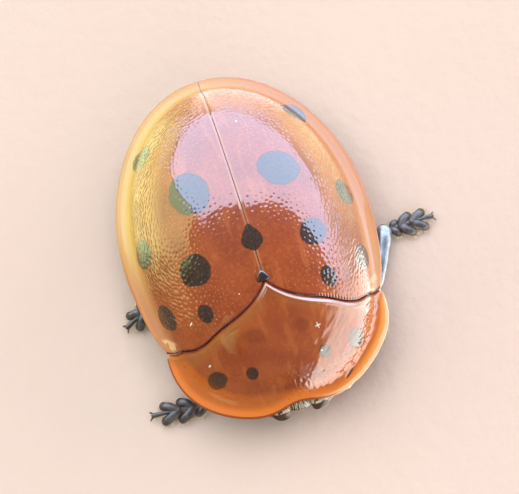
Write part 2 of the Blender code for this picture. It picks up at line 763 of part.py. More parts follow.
def make_carrier():
    """Empty that turns millimetres into metres and centres the model."""
    carrier = bpy.data.objects.new("beetle", None)
    carrier.scale = (METRES_PER_MM, METRES_PER_MM, METRES_PER_MM)
    carrier.location = (CENTRE_OFFSET_X * METRES_PER_MM, CENTRE_OFFSET_Y * METRES_PER_MM, 0.0)
    bpy.context.scene.collection.objects.link(carrier)
    return carrier


def main():
    """Build the whole beetle."""
    clear_scene()
    carrier = make_carrier()
    make_elytron("elytron_left", 1.0, carrier)
    make_elytron("elytron_right", -1.0, carrier)
    make_scutellum(carrier)
    make_pronotum(carrier)
    make_prothorax(carrier)
    make_thorax(carrier)
    make_abdomen(carrier)
    make_head(carrier)
    for name, side in (("left", 1.0), ("right", -1.0)):
        make_eye("eye_" + name, side, carrier)
        make_antenna("antenna_" + name, side, carrier)
    for leg in LEGS:
        make_leg(leg, carrier)


main()
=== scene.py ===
"""Tortoise beetle, life size, standing on a pale floor.

Shapes are worked out in millimetres in the beetle's own frame: its left at +X, its tail
toward +Y, the floor at z = 0. Skin.build turns them into metres where the frame stands.
"""
import itertools
import math
import random

import bmesh
import bpy
import numpy as np
from bpy.props import FloatProperty, FloatVectorProperty, PointerProperty
from mathutils import Matrix, Vector, kdtree


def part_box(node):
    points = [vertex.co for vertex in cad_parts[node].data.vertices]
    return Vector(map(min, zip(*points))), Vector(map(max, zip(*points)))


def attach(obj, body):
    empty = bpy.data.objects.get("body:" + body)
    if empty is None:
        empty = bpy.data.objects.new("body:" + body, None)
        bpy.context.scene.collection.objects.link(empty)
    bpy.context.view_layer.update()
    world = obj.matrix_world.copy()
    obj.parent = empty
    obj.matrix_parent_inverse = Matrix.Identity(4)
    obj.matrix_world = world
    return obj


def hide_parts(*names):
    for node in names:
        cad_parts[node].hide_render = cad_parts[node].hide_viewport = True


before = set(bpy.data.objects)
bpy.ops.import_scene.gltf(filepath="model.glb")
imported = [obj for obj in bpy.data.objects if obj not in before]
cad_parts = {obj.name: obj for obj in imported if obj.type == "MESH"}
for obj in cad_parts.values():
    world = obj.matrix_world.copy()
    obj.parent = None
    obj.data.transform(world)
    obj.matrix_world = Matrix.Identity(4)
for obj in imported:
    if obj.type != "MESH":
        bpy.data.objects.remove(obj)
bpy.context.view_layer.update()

bl_info = {
    "name": "Tortoise Beetle",
    "version": (1, 0, 0),
    "blender": (4, 5, 0),
    "location": "3D View > Sidebar > Beetle",
    "description": "Builds a life-size tortoise beetle piece by piece",
    "category": "Add Mesh",
}

METRES_PER_MM = 0.001

# Dome that the wing cases and the shield share, and their outlines, as in the solids
CROWN_Y = 2.2
HALF_WIDTH = 3.97
REAR_LENGTH = 5.45
FRONT_LENGTH = 5.8
RIM_Z = 1.5
RIM_ARCH = 0.08
CROWN_RISE = 3.25
FLANGE = 0.48
DOME_POWER = 0.52
GROOVE_SOFTNESS = 0.04
FRONT_SQUARENESS = 0.5
SQUARE_REACH = 4.0
BASE_DEPTH = 1.0
BASE_CURVE = 0.85
SHOULDER_X = 3.47
SHOULDER_START = 2.5
SHOULDER_EASE = 0.37
SHOULDER_INSET = 0.12
SHOULDER_FADE = 0.3
BASE_TAPER = 6.4
PRONOTUM_HALF = 3.49
PRONOTUM_WIDEST_Y = -1.0
PRONOTUM_FRONT = 2.6
PRONOTUM_POWER = 2.2
NOTCH_DEPTH = 0.27
NOTCH_HALF = 0.8
ROUND_SHARE = 0.94

# The seam's swing forward inside the shoulder, and the shield's left front margin drawn in
BASE_SWING = 0.10
BASE_SWING_X = (3.1, 2.6)
BASE_BOW = (0.11, 2.3, 0.45)
FRONT_INSET = (0.10, 0.52, 0.26)

# Fit of the plates
SEAM_HALF = 0.014       # suture to the first full row of a wing case
SHIELD_SEAM = 0.070     # wing cases to the first full row of the shield
TIP_SHARE = 0.965       # the last row of a wing case stands this near its tip
CORNER_SHARE = 0.970    # the last columns of the shield stand this near its hind corners
PLATE_THICK = 0.16
CASE_ROLLS = ((0.022, 0.03), (0.010, 0.045))    # rounded edges: base, tip; suture, rim
SHIELD_ROLLS = ((0.025, 0.045), (0.025, 0.025))  # hind edge, rim; both corners
ROLL_STEPS = 3          # rows of a rounded edge; one more carries it down to the lower face
LOWER_BLOCK = 5         # rows and columns of the upper face for one of the plain lower face
CASE_GRID = (370, 226)  # rows from base to tip, columns from suture to rim
SHIELD_GRID = (110, 290)    # rows from hind edge to rim, columns from side to side

# Folds in the plates: height, place and half width
SUTURE_RIDGE = (0.006, 0.10, 0.045)
SUTURE_FALL = (-0.008, SEAM_HALF, 0.03)
RIM_BEAD = (0.010, 0.03, 0.05)
CASE_BASE_FALL = (-0.014, 0.0, 0.06)
SHIELD_BEAD = (0.045, 0.12, 0.05)
SHIELD_HIND_FALL = (-0.05, 0.0, 0.16)

# Teeth along the base of a wing case, and the hollow that holds the small shield
TOOTH_HEIGHT = 0.014
TOOTH_PITCH = 0.085
TOOTH_ROW = (1.0, 0.03, 0.05)
TOOTH_SPAN = (1.2, 1.7, 2.7, 3.1)
HOLLOW_DEPTH = 0.05
HOLLOW_Y = 0.02
HOLLOW_SQUASH = 0.8
HOLLOW_RADII = (0.30, 0.20)

# Pits of a wing case: closer, deeper and longer on the flank, coarse behind the shoulder
PIT_FLANK_REACH = (0.62, 0.82)
PIT_FLANK_FROM_BASE = (0.2, 1.0)
PIT_COARSE_X = (1.0, 1.7)
PIT_COARSE_FROM_BASE = (2.1, 1.3)
PIT_CROWDING = 0.25
PIT_THINNING = 0.35
PIT_UNEVENNESS = 0.25
PIT_SWING = (0.75, 1.2)
PIT_FREE_RIM = 0.5      # no pit nearer to the rim than this
PIT_FREE_SUTURE = 0.16
PIT_FREE_BASE = 0.12
STREAK_LIMIT = 0.62     # streaks of the disc above this have no pits

# Pits of the shield: reach of its groove, and ranges of depth and half width
GROOVE_REACH = 0.985
GROOVE_HALF = 0.035     # pits this near to it are coarse
SHIELD_DISC_REACH = 0.95    # fine pits stand on the disc, within this reach
SHIELD_DISC_HIND = 0.2  # and not nearer to the hind edge than this
GROOVE_PITS = ((0.008, 0.02), (0.03, 0.045))
FINE_PITS = ((0.001, 0.004), (0.02, 0.035))
SHIELD_PIT_PITCH = 0.13
SHIELD_PIT_STRETCH = 1.2

# Small shield between the bases of the wing cases
SCUTELLUM_GRID = 34
SCUTELLUM_HALF = 0.20
SCUTELLUM_TIP_HALF = 0.012
SCUTELLUM_X = -0.03
SCUTELLUM_Y = -0.135
SCUTELLUM_LENGTH = 0.34
SCUTELLUM_SUNK = 0.07
SCUTELLUM_CROWN = 0.12
SCUTELLUM_FULLNESS = 0.32
SCUTELLUM_THICK = 0.12

# Trunk, as in the solids
TRUNK_DEPTH_BELOW_DOME = 0.82
TRUNK_TAPER_LIMIT = 0.995
TRUNK_RINGS = 70
TRUNK_SIDES = 96
BACK_SQUARENESS = 0.3   # the smaller, the fuller the trunk is under the dome
BELLY_SQUARENESS = 0.5
END_INSET = 0.2         # the trunk's ends are rounded over this length
END_GIRTH = 0.8
KEEL_Z = 0.5
KEEL_HALF = 1.3
BELLY_HALF = 1.8
PROTHORAX_HALF = 1.0
PROTHORAX_Y = (-2.3, -0.45)
THORAX_Y = (-0.4, 2.8)
ABDOMEN_Y = (2.86, 6.55)
VENTRITES = 5
HIP_RADII = (0.4, 0.36, 0.38)

# Relief of the underside: folds, and the height of the fine pits
BREAST_MIDLINE = (0.05, 0.0, 0.05)
BREAST_FRONT_FOLD = (0.07, 0.55, 0.05)
BREAST_REAR_FOLD = (0.06, 2.05, 0.05)
CHEST_FOLD = (0.05, 0.28, 0.05)
VENTRITE_STEP = 0.07
VENTRITE_LIP = 0.03
VENTRITE_LEAN = 0.08
BELLY_DENT = (0.05, 1.3, 0.2)
BREAST_PITS = 0.012
BELLY_PITS = 0.010
SKIN_HAIRS = 420        # short hairs on each part of the trunk and tried on the face
HAIR_DEPTH = 0.12       # hairs of the trunk stand further than this below the rim

# Head, as in the solids, with slightly fuller eyes
HEAD_CENTRE = Vector((0.0, -2.98, 0.92))
HEAD_RADII = Vector((0.56, 0.46, 0.42))
HEAD_ROWS = 72
HEAD_COLUMNS = 96
FACE_TAPER = 0.30
FACE_SLOPE = 0.10
FACE_DROP = 0.16
FACE_GROOVE = (0.025, 0.0, 0.035)
BROW_FOLD = (0.02, 0.02, 0.05)
BROW_HAIRS = 11
BROW_HALF = 0.4
BROW_Y = -3.14
BROW_TOP_Z = 1.29
BROW_ARCH = 0.3
FACE_HAIRS_Y = -2.9     # no face hairs behind this
EYE_CENTRE = Vector((0.60, -3.36, 1.08))
EYE_RADII = Vector((0.33, 0.30, 0.31))
EYE_INNER_X = 0.36      # toward the head the eye is pressed flat from here on
EYE_FLATNESS = 0.8
FACET_RIM = 0.972       # share of the radius between two facets

# Neck, upper and lower lip: route, half widths, half heights, sides
MIDDLE_PARTS = (
    (((0.0, -2.98, 0.97), (0.0, -2.6, 1.0), (0.0, -2.25, 1.05)),
     (0.36, 0.34, 0.36), (0.36, 0.34, 0.36), 32),
    (((-0.17, -3.26, 0.56), (0.0, -3.31, 0.55), (0.17, -3.26, 0.56)),
     (0.05, 0.07, 0.05), (0.09, 0.12, 0.09), 20),
    (((-0.12, -3.25, 0.42), (0.0, -3.28, 0.40), (0.12, -3.25, 0.42)),
     (0.04, 0.055, 0.04), (0.05, 0.07, 0.05), 20),
)
JAW = ((0.2, -3.14, 0.5), (0.19, -3.22, 0.38), (0.06, -3.25, 0.29))
JAW_WIDTHS = (0.1, 0.08, 0.03)
JAW_HEIGHTS = (0.09, 0.06, 0.025)
PALP = ((0.2, -3.0, 0.42), (0.3, -3.04, 0.34), (0.36, -3.1, 0.3), (0.36, -3.17, 0.27), (0.33, -3.24, 0.23))
PALP_GIRTHS = tuple((girth * 0.75, girth, girth * 0.85) for girth in (0.045, 0.052, 0.056, 0.05))
LIP_PALP = ((0.07, -3.04, 0.36), (0.1, -3.11, 0.3), (0.1, -3.18, 0.26))
LIP_PALP_GIRTHS = ((0.025, 0.034, 0.024), (0.025, 0.034, 0.024))
CHEEK_CENTRE = (0.24, -3.3, 0.8)
CHEEK_RADII = (0.1, 0.08, 0.1)

# Antennae: route, places of the joints along it, their girths and the swell of one joint
ANTENNA_ROUTE = ((0.28, -3.3, 0.78), (0.6, -3.38, 0.62), (0.99, -3.33, 0.86), (1.36, -2.8, 0.84),
                 (1.6, -2.12, 1.0), (1.66, -1.5, 1.34), (1.6, -0.95, 1.52))
ANTENNA_SHARES = (0.0, 0.15, 0.22, 0.31, 0.40, 0.48, 0.57, 0.66, 0.75, 0.84, 0.92, 1.0)
ANTENNA_GIRTHS = (0.085, 0.062, 0.055, 0.055, 0.062, 0.08, 0.11, 0.125, 0.125, 0.12, 0.095)
JOINT_PROFILE = (0.6, 0.85, 1.0, 1.0, 0.7)
JOINT_FILL = 0.94       # share of its stretch that a joint takes
STALK_JOINTS = 5
CLUB_HAIRS = 46

# Spots: centre, half sizes, turn in degrees
CASE_SPOTS = (
    (0.00, 1.12, 0.33, 0.28, 0.0),
    (0.00, 1.17, 0.28, 0.37, 0.0),
    (0.00, 1.22, 0.19, 0.41, 0.0),
    (1.45, 3.17, 0.64, 0.58, 159.0),
    (-1.39, 3.19, 0.72, 0.60, 118.0),
    (2.57, 5.56, 0.47, 0.32, 119.0),
    (-2.46, 5.43, 0.42, 0.32, 67.0),
    (3.27, 2.37, 0.44, 0.26, 82.0),
    (-3.26, 2.33, 0.46, 0.24, 96.0),
    (1.86, 0.98, 0.46, 0.38, 47.0),
    (-1.90, 0.90, 0.52, 0.45, 122.0),
    (3.16, 0.24, 0.46, 0.20, 71.0),
    (-3.14, 0.18, 0.50, 0.19, 109.0),
    (1.90, -0.42, 0.32, 0.24, 89.0),
    (-1.98, -0.40, 0.30, 0.21, 112.0),
)
SHIELD_SPOTS = (
    (2.21, -2.15, 0.28, 0.20, 34.0),
    (-2.23, -2.13, 0.32, 0.19, 153.0),
    (1.15, -2.38, 0.19, 0.16, 15.0),
    (-1.16, -2.38, 0.19, 0.15, 165.0),
)
FAINT_SPOTS = (
    (0.67, -1.59, 0.24, 0.18, 175.0),
    (-0.78, -1.51, 0.33, 0.20, 163.0),
)
# Painted highlights on the shoulders
SHOULDER_HIGHLIGHTS = (
    (3.28, -0.50, 0.36, 0.09, 58.0),
    (-3.28, -0.50, 0.36, 0.09, 122.0),
)
CASE_FLECKS = (
    (-2.49, -0.45, 0.06, 0.025, 40.0),
    (-0.85, -0.26, 0.022, 0.02, 0.0),
    (0.67, 5.11, 0.03, 0.025, 0.0),
)
SHIELD_FLECKS = (
    (1.15, -1.70, 0.02, 0.09, 10.0),
    (1.15, -1.70, 0.09, 0.02, 10.0),
    (2.79, -1.40, 0.03, 0.04, 0.0),
    (-2.32, -1.73, 0.04, 0.03, 0.0),
    (1.06, -2.35, 0.03, 0.02, 0.0),
)

# Slit in the shield's left front margin, laid out as a spot is
SLIT = (1.73, -2.98, 0.20, 0.045, 39.0)
SLIT_DEPTH = 0.04

# Where the colours change over the disc's reach, in which 1 is the foot of the domed disc
FLANK_REACH = (0.66, 0.88)
MARGIN_REACH = (0.95, 1.03)
STREAK_REACH = (0.95, 0.5)
# reach over which the painted glints in the disc's pits fade in
GLINT_REACH = (0.3, 0.6)
SHIELD_MARGIN_REACH = (0.97, 1.0)

# Legs: hip, knee, ankle, and the place of the toe on the floor
LEGS = {
    "front_left": ((0.5, -1.5, 0.88), (1.6, -0.45, 0.68), (1.95, -1.95, 0.46), (3.4, -1.25)),
    "front_right": ((-0.5, -1.5, 0.88), (-2.2, -0.85, 0.7), (-2.5, -2.33, 0.46), (-4.54, -2.08)),
    "middle_left": ((0.85, 0.7, 0.88), (3.4, -0.5, 0.66), (4.25, 1.42, 0.46), (5.93, 1.45)),
    "middle_right": ((-0.85, 0.7, 0.88), (-3.1, -0.3, 0.66), (-2.9, 1.6, 0.46), (-4.5, 0.87)),
    "hind_left": ((0.8, 2.3, 0.88), (2.85, 2.95, 0.7), (2.75, 4.75, 0.46), (2.5, 6.3)),
    "hind_right": ((-0.8, 2.3, 0.88), (-2.75, 3.2, 0.7), (-2.9, 4.95, 0.46), (-2.15, 6.35)),
}
SOLE_CENTRE_Z = 0.22

# Thigh and shin: places along them, half widths and half heights there and at both ends
THIGH_START = 0.22
THIGH_END = 0.02
THIGH_PLACES = (0.4, 0.72)
THIGH_WIDTHS = (0.2, 0.3, 0.31, 0.19)
THIGH_HEIGHTS = (0.2, 0.27, 0.27, 0.18)
SHIN_INSET = 0.1
SHIN_PLACES = (0.2, 0.55, 0.85)
SHIN_WIDTHS = (0.13, 0.2, 0.25, 0.27, 0.25)
SHIN_HEIGHTS = (0.13, 0.19, 0.22, 0.24, 0.22)
SHIN_KEEL = 0.03
SHIN_HAIRS = 150

# Lobed joints of a foot: root and tip along it, spread of the tips, girth, bow of the lobes
LOBES = (
    (0.16, 0.27, 0.18, 0.115, 0.66),
    (0.34, 0.53, 0.28, 0.135, 0.66),
    (0.57, 0.79, 0.25, 0.135, 0.55),
)
LOBE_MIDDLE = 0.45
LOBE_HAIRS = 130

# Stem, last joint and claw of a foot: along it, across, up; then half widths
STEM = ((0.1, 0.0, 0.08), (0.36, 0.0, 0.05), (0.6, 0.0, 0.05))
STEM_WIDTHS = (0.09, 0.10, 0.10)
STEM_HEIGHTS = (0.07, 0.07, 0.07)
LAST_JOINT = ((0.58, 0.0, 0.04), (0.78, 0.0, 0.08), (0.955, 0.0, 0.02))
LAST_JOINT_WIDTHS = (0.05, 0.06, 0.085)
CLAW = ((0.955, 0.035, 0.03), (0.985, 0.09, 0.03), (1.01, 0.13, -0.05), (1.012, 0.14, -0.13))
CLAW_WIDTHS = (0.034, 0.032, 0.022, 0.006)

# Rounded end of a limb: how far each ring leans out; taper of a hair: place and girth
CAP_LEANS = (0.3, 0.58, 0.8, 0.94, 0.995)
HAIR_TAPER = ((0.0, 1.0), (0.4, 0.9), (0.75, 0.6), (1.0, 0.12))

# Scattered pits and smooth noise: a cell and those round it, size and mixing of the table
NEAR_CELLS = tuple(itertools.product((-1, 0, 1), repeat=3))
NOISE_TABLE = 4096
NOISE_PRIMES = (73856093, 19349663, 83492791)

# View of the photograph, 519 by 494
IMAGE_WIDTH = 519
PIXELS_PER_MM = 33.4
CAMERA_DISTANCE = 70.0
CAMERA_ELEVATION = 74.0
CAMERA_AZIMUTH = -7.71
CAMERA_ROLL = 9.75
VIEW_TARGET = Vector((0.0, 0.05, 4.41))
VIEW_OFFSET = (0.0382, 0.841)
SENSOR = 36.0
CLIP = (0.001, 10.0)

# Screens that show in the lacquer: azimuth from behind the tail toward its left side,
# lowest and highest elevation, in degrees
SCREEN_REACH = 250.0
SCREEN_HEIGHT = 2.7
SCREEN_LIFT = 0.3
SCREEN_FADE = 14.0
SCREEN_MESH = (24, 60)
WINDOW = ((-70, 46, 46), (-60, 41, 52), (-56, 36, 54), (-51, 22, 58), (-42, 11, 62), (-27, 6, 68),
          (-15, 0, 70), (-6, 0, 70), (15, 0, 67), (33, 0, 71), (55, 0, 61), (61, 0, 54), (71, 0, 45),
          (79, 0, 33), (84, 0, 26), (92, 0, 20), (100, 2, 14), (106, 4, 8))
TAIL_GLOW = ((-12, -8, -0.5), (0, -26, -0.5), (34, -26, -0.5), (42, -8, -0.5))
LEAF_GLOW = ((-87, -28, 22), (-75, -28, 30), (-62, -28, 41), (-56, -28, 35), (-51, -28, 21),
             (-42, -28, 10), (-27, -24, 4), (-18, -20, -2))
RIGHT_GLOW = ((30, -20, -0.5), (48, -28, -0.5), (100, -28, -0.5))
FRONT_GLOW = ((92, -28, 8), (105, -28, 26), (127, -28, 32), (144, -28, 26), (160, -28, 14),
              (172, -28, -6), (177, -28, -20))
FRONT_SHADE = ((-183, -36, -0.5), (-88, -36, -0.5))
OLIVE_GLOW = ((-150, 18, 46), (-135, 16, 48), (-120, 20, 40))

# Each screen: marks, the setting that drives it, strength, colour, soft share of its height;
# in the names of screens and lights, left and right are as the camera sees them
SCREENS = {
    "window": (WINDOW, "window_strength", 6.6, (0.57, 0.71, 0.98), 0.0),
    "tail_glow": (TAIL_GLOW, "window_strength", 3.4, (0.75, 0.72, 0.85), 0.0),
    "leaf_glow": (LEAF_GLOW, "side_strength", 2.6, (0.88, 1.0, 0.48), 0.0),
    "right_glow": (RIGHT_GLOW, "side_strength", 2.2, (0.86, 0.92, 0.76), 0.0),
    "front_glow": (FRONT_GLOW, "side_strength", 4.8, (1.0, 0.98, 0.9), 0.45),
    "front_shade": (FRONT_SHADE, "side_strength", 0.3, (1.0, 0.7, 0.5), 0.0),
    "olive_glow": (OLIVE_GLOW, "side_strength", 1.1, (0.7, 1.0, 0.5), 0.0),
}

# Each soft light: centre from over the crown, width, height, setting, strength, colour
LIGHTS = {
    "key": ((-45.0, 105.0, 276.0), 420.0, 420.0, "window_strength", 2.0, (1.0, 0.96, 0.93)),
    "front_fill": ((60.0, -220.0, 110.0), 320.0, 220.0, "side_strength", 1.1, (1.0, 0.95, 0.93)),
    "left_fill": ((-220.0, 60.0, 50.0), 300.0, 160.0, "side_strength", 1.3, (0.85, 1.0, 0.4)),
    "right_fill": ((220.0, 60.0, 60.0), 300.0, 160.0, "side_strength", 2.5, (1.0, 0.88, 0.8)),
}
LIGHT_FOCUS_Z = 3.0
AIR_COLOUR = (1.0, 0.93, 0.86)
AIR_STRENGTH = 0.2
FLOOR_HALF = 400.0
FLOOR_STEPS = 61


def beetle_origin():
    """Where the beetle's own frame stands, in millimetres, read from the wing cases."""
    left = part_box("elytron_left")
    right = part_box("elytron_right")
    x = (left[0].x + right[1].x) / 2.0
    y = left[1].y
    return np.array((x / METRES_PER_MM, y / METRES_PER_MM - (CROWN_Y + REAR_LENGTH), 0.0))


ORIGIN = beetle_origin()


def to_metres(points):
    """Points of the beetle's frame, in millimetres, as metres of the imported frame."""
    return (np.asarray(points, float) + ORIGIN) * METRES_PER_MM


# Numbers

def ease(value, low=0.0, high=1.0):
    """Smooth step from 0 at low to 1 at high; high below low turns it round."""
    share = np.clip((np.asarray(value, float) - low) / (high - low), 0.0, 1.0)
    return share * share * (3.0 - 2.0 * share)


def dome_radius(x, y):
    """0 at the crown, 1 on the smooth outline of the whole shell."""
    length = np.where(y > CROWN_Y, REAR_LENGTH, FRONT_LENGTH)
    power = 2.0 + FRONT_SQUARENESS * ease((CROWN_Y - y) / SQUARE_REACH)
    across = (np.abs(x) / HALF_WIDTH) ** power
    along = (np.abs(y - CROWN_Y) / length) ** power
    return (across + along) ** (1.0 / power)


def rim_distance(x, y):
    """Distance in plan to the shell's outline, measured away from the crown."""
    radius = np.maximum(dome_radius(x, y), 1e-6)
    return np.hypot(x, y - CROWN_Y) * (1.0 / radius - 1.0)


def disc_reach(x, y):
    """0 at the crown, 1 at the foot of the domed disc, more on the flange."""
    radius = np.maximum(dome_radius(x, y), 1e-6)
    outline = np.maximum(np.hypot(x, y - CROWN_Y) / radius, 1e-6)
    return radius / (1.0 - FLANGE / outline)


def dome_height(x, y):
    """Height of the shell's upper face."""
    inside = 1.0 - disc_reach(x, y) ** 2
    softened = (inside + np.hypot(inside, GROOVE_SOFTNESS)) / 2.0
    arch = RIM_ARCH * ((y - CROWN_Y) / REAR_LENGTH) ** 2
    return RIM_Z - arch + CROWN_RISE * softened ** DOME_POWER


def between(value, low, full_low, full_high, high):
    """0 outside low and high, 1 inside the two middle numbers."""
    return ease(value, low, full_low) * ease(value, high, full_high)


def fold(value, height, place, half_width):
    """Height of a soft fold that runs across the value at a place."""
    return height * np.exp(-((value - place) / half_width) ** 2)


def base_edge(x):
    """Y of the seam between shield and wing cases, with its swing forward inside the shoulder."""
    aside = np.abs(x)
    forward = BASE_DEPTH * (1.0 - np.exp(-aside / BASE_CURVE))
    shoulder = np.maximum(aside - SHOULDER_START, 0.0)
    swing = BASE_SWING * ease(aside, *BASE_SWING_X) + fold(aside, *BASE_BOW)
    return SHOULDER_EASE * shoulder ** 2 - forward - swing


def spaced(curve, count):
    """Shares at which points along a curve stand evenly in space."""
    shares = np.linspace(0.0, 1.0, 3000)
    steps = np.linalg.norm(np.diff(curve(shares), axis=0), axis=1)
    run = np.concatenate(([0.0], np.cumsum(steps)))
    return np.interp(np.linspace(0.0, run[-1], count), run, shares)


def on_dome(x, y):
    """Points of the dome over the plan."""
    return np.stack((x, y, dome_height(x, y)), axis=-1)


def grid_normals(grid):
    """Upward normals of a grid of points."""
    down = np.gradient(grid, axis=0)
    over = np.gradient(grid, axis=1)
    normals = np.cross(over, down)
    normals /= np.maximum(np.linalg.norm(normals, axis=2, keepdims=True), 1e-12)
    return normals * np.where(normals[..., 2:3] < 0.0, -1.0, 1.0)


def lattice_noise(points, pitch, seed):
    """Smooth noise from -1 to 1 over points, its lumps a pitch apart."""
    random_table = np.random.default_rng(seed).uniform(-1.0, 1.0, NOISE_TABLE)
    place = np.asarray(points, float) / pitch
    cell = np.floor(place).astype(np.int64)
    share = ease(place - cell)
    total = 0.0
    for corner in range(1 << place.shape[-1]):
        code = np.zeros(place.shape[:-1], np.int64)
        weight = np.ones(place.shape[:-1])
        for axis, prime in zip(range(place.shape[-1]), NOISE_PRIMES):
            bit = (corner >> axis) & 1
            code ^= (cell[..., axis] + bit) * prime
            weight = weight * (share[..., axis] if bit else 1.0 - share[..., axis])
        total = total + weight * random_table[code % NOISE_TABLE]
    return total


def scatter(points, pitches, seed):
    """Indices of points picked at random so that none stands nearer than its pitch."""
    cell = float(np.max(pitches))
    taken = {}
    picked = []
    for index in np.random.default_rng(seed).permutation(len(points)):
        point = points[index].tolist()
        i, j, k = (math.floor(value / cell) for value in point)
        limit = pitches[index]
        near = (other for di, dj, dk in NEAR_CELLS for other in taken.get((i + di, j + dj, k + dk), ()))
        if all(math.dist(point, other) >= limit for other in near):
            taken.setdefault((i, j, k), []).append(point)
            picked.append(index)
    return picked


# Meshes

def cross_ways(way):
    """Level direction and upright direction across a way."""
    across = way.cross(Vector((0.0, 0.0, 1.0)))
    across = across.normalized() if across.length > 0.05 else Vector((1.0, 0.0, 0.0))
    return across, across.cross(way).normalized()


def spoke(way, angle):
    """Direction across a way, turned round it by an angle."""
    across, upright = cross_ways(way)
    return across * math.cos(angle) + upright * math.sin(angle)


class Skin:
    """Corners, faces and values of one piece, gathered in millimetres."""

    def __init__(self):
        self.corners = []
        self.faces = []
        self.values = {}
        self.count = 0

    def add(self, corners, faces, **values):
        """Take in corners and faces; each value is a number or one per corner."""
        corners = np.asarray(corners, float).reshape(-1, 3)
        for name in {**self.values, **values}:
            if name not in self.values:
                self.values[name] = [np.zeros(self.count)]
            given = values.get(name, 0.0)
            self.values[name].append(np.broadcast_to(given, len(corners)).astype(float))
        self.corners.append(corners)
        self.faces.extend([tuple(self.count + i for i in face) for face in faces])
        self.count += len(corners)

    def build(self, name, material, slot, *nodes):
        """Make the piece, let it stand for its nodes and ride on the one body."""
        mesh = bpy.data.meshes.new(name)
        mesh.from_pydata(to_metres(np.concatenate(self.corners)).tolist(), [], self.faces)
        mesh.validate()
        for value, parts in self.values.items():
            layer = mesh.attributes.new(value, "FLOAT", "POINT")
            layer.data.foreach_set("value", np.concatenate(parts).astype(np.float32))
        mesh.shade_smooth()
        mesh.materials.append(material)
        thing = bpy.data.objects.new(name, mesh)
        bpy.context.scene.collection.objects.link(thing)
        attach(thing, "root")
        if nodes:
            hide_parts(*nodes)
        return thing


def grid_faces(rows, columns, around=False, caps=False):
    """Quads between the corners of a grid, closed round its columns and at its ends if asked."""
    faces = []
    for row in range(rows - 1):
        near = row * columns
        far = near + columns
        for i in range(columns - 1):
            faces.append((near + i, near + i + 1, far + i + 1, far + i))
        if around:
            faces.append((near + columns - 1, near, far, far + columns - 1))
    if caps:
        faces.append(tuple(reversed(range(columns))))
        faces.append(tuple((rows - 1) * columns + i for i in range(columns)))
    return faces


def sweep(route, widths, heights=None, sides=20, rings=28, cap=0.9, ripple=None):
    """Closed limb along a route: corners and quads, with rounded ends."""
    route = [Vector(point) for point in route]
    heights = widths if heights is None else heights
    stations = []
    for i in range(rings):
        share = i / (rings - 1)
        stations.append((curve_point(route, share), curve_number(widths, share),
                         curve_number(heights, share)))
    first = (stations[0][0] - stations[1][0]).normalized()
    last = (stations[-1][0] - stations[-2][0]).normalized()
    head, tail = [], []
    for lean in CAP_LEANS:
        girth = math.sqrt(1.0 - lean ** 2)
        for end, way, (centre, wide, high) in ((head, first, stations[0]), (tail, last, stations[-1])):
            end.append((centre + way * (lean * cap * wide), wide * girth, high * girth))
    stations = head[::-1] + stations + tail
    corners = []
    for index, (centre, wide, high) in enumerate(stations):
        before = stations[max(index - 1, 0)][0]
        after = stations[min(index + 1, len(stations) - 1)][0]
        across, upright = cross_ways((after - before).normalized())
        share = index / (len(stations) - 1)
        for i in range(sides):
            angle = 2.0 * math.pi * i / sides
            swell = 1.0 if ripple is None else ripple(share, angle)
            corners.append(centre + across * (math.cos(angle) * wide * swell)
                           + upright * (math.sin(angle) * high * swell))
    return corners, grid_faces(len(stations), sides, around=True, caps=True)


def curve_point(route, share):
    """Point on the smooth curve through the route's points."""
    place = share * (len(route) - 1)
    index = min(int(place), len(route) - 2)
    t = place - index
    p1, p2 = route[index], route[index + 1]
    p0 = route[index - 1] if index > 0 else p1 * 2.0 - p2
    p3 = route[index + 2] if index + 2 < len(route) else p2 * 2.0 - p1
    bend = p0 * -1.0 + p1 * 3.0 - p2 * 3.0 + p3
    lean = p0 * 2.0 - p1 * 5.0 + p2 * 4.0 - p3
    return (p1 * 2.0 + (p2 - p0) * t + lean * t ** 2 + bend * t ** 3) * 0.5


def curve_number(numbers, share):
    """Number at a share of the way along a list, eased between its members."""
    place = share * (len(numbers) - 1)
    index = min(int(place), len(numbers) - 2)
    t = float(ease(place - index))
    return numbers[index] * (1.0 - t) + numbers[index + 1] * t


def bristle(skin, root, way, length, girth, bend=(0.0, 0.0, -0.2), flat=1.0, **values):
    """One tapering hair from a root, bending as it goes."""
    way = Vector(way).normalized()
    across, upright = cross_ways(way)
    corners = []
    for share, size in HAIR_TAPER:
        centre = Vector(root) + way * (length * share) + Vector(bend) * (length * share * share)
        for i in range(4):
            angle = math.pi / 2.0 * i
            corners.append(centre + across * (math.cos(angle) * girth * size * flat)
                           + upright * (math.sin(angle) * girth * size))
    skin.add(corners, grid_faces(len(HAIR_TAPER), 4, around=True, caps=True), **values)


def rolled(grid, radii, thick):
    """A grid with its four borders rounded over and carried down to a plate's lower face."""
    border = ROLL_STEPS + 1
    normals = grid_normals(grid)
    for axis in (0, 1):
        for end in (0, -1):
            radius = radii[axis][end]
            edge = np.take(grid, end, axis=axis)
            inner = np.take(grid, 1 if end == 0 else -2, axis=axis)
            up = np.take(normals, end, axis=axis)
            out = np.cross(np.gradient(edge, axis=0), up)
            out *= np.sign(np.sum(out * (edge - inner), axis=-1, keepdims=True))
            out /= np.maximum(np.linalg.norm(out, axis=-1, keepdims=True), 1e-9)
            if axis == 1:
                out = np.pad(out[border:-border], ((border, border), (0, 0)), mode="edge")
            rings = []
            for step in range(1, border):
                angle = math.pi / 2.0 * step / ROLL_STEPS
                rings.append(edge + out * radius * math.sin(angle) - up * radius * (1.0 - math.cos(angle)))
            rings.append(edge + out * radius - up * thick)
            if end == 0:
                rings.reverse()
            added = np.stack(rings, axis=axis)
            lifts = np.stack([up] * border, axis=axis)
            grid = np.concatenate((added, grid) if end == 0 else (grid, added), axis=axis)
            normals = np.concatenate((lifts, normals) if end == 0 else (normals, lifts), axis=axis)
    return grid


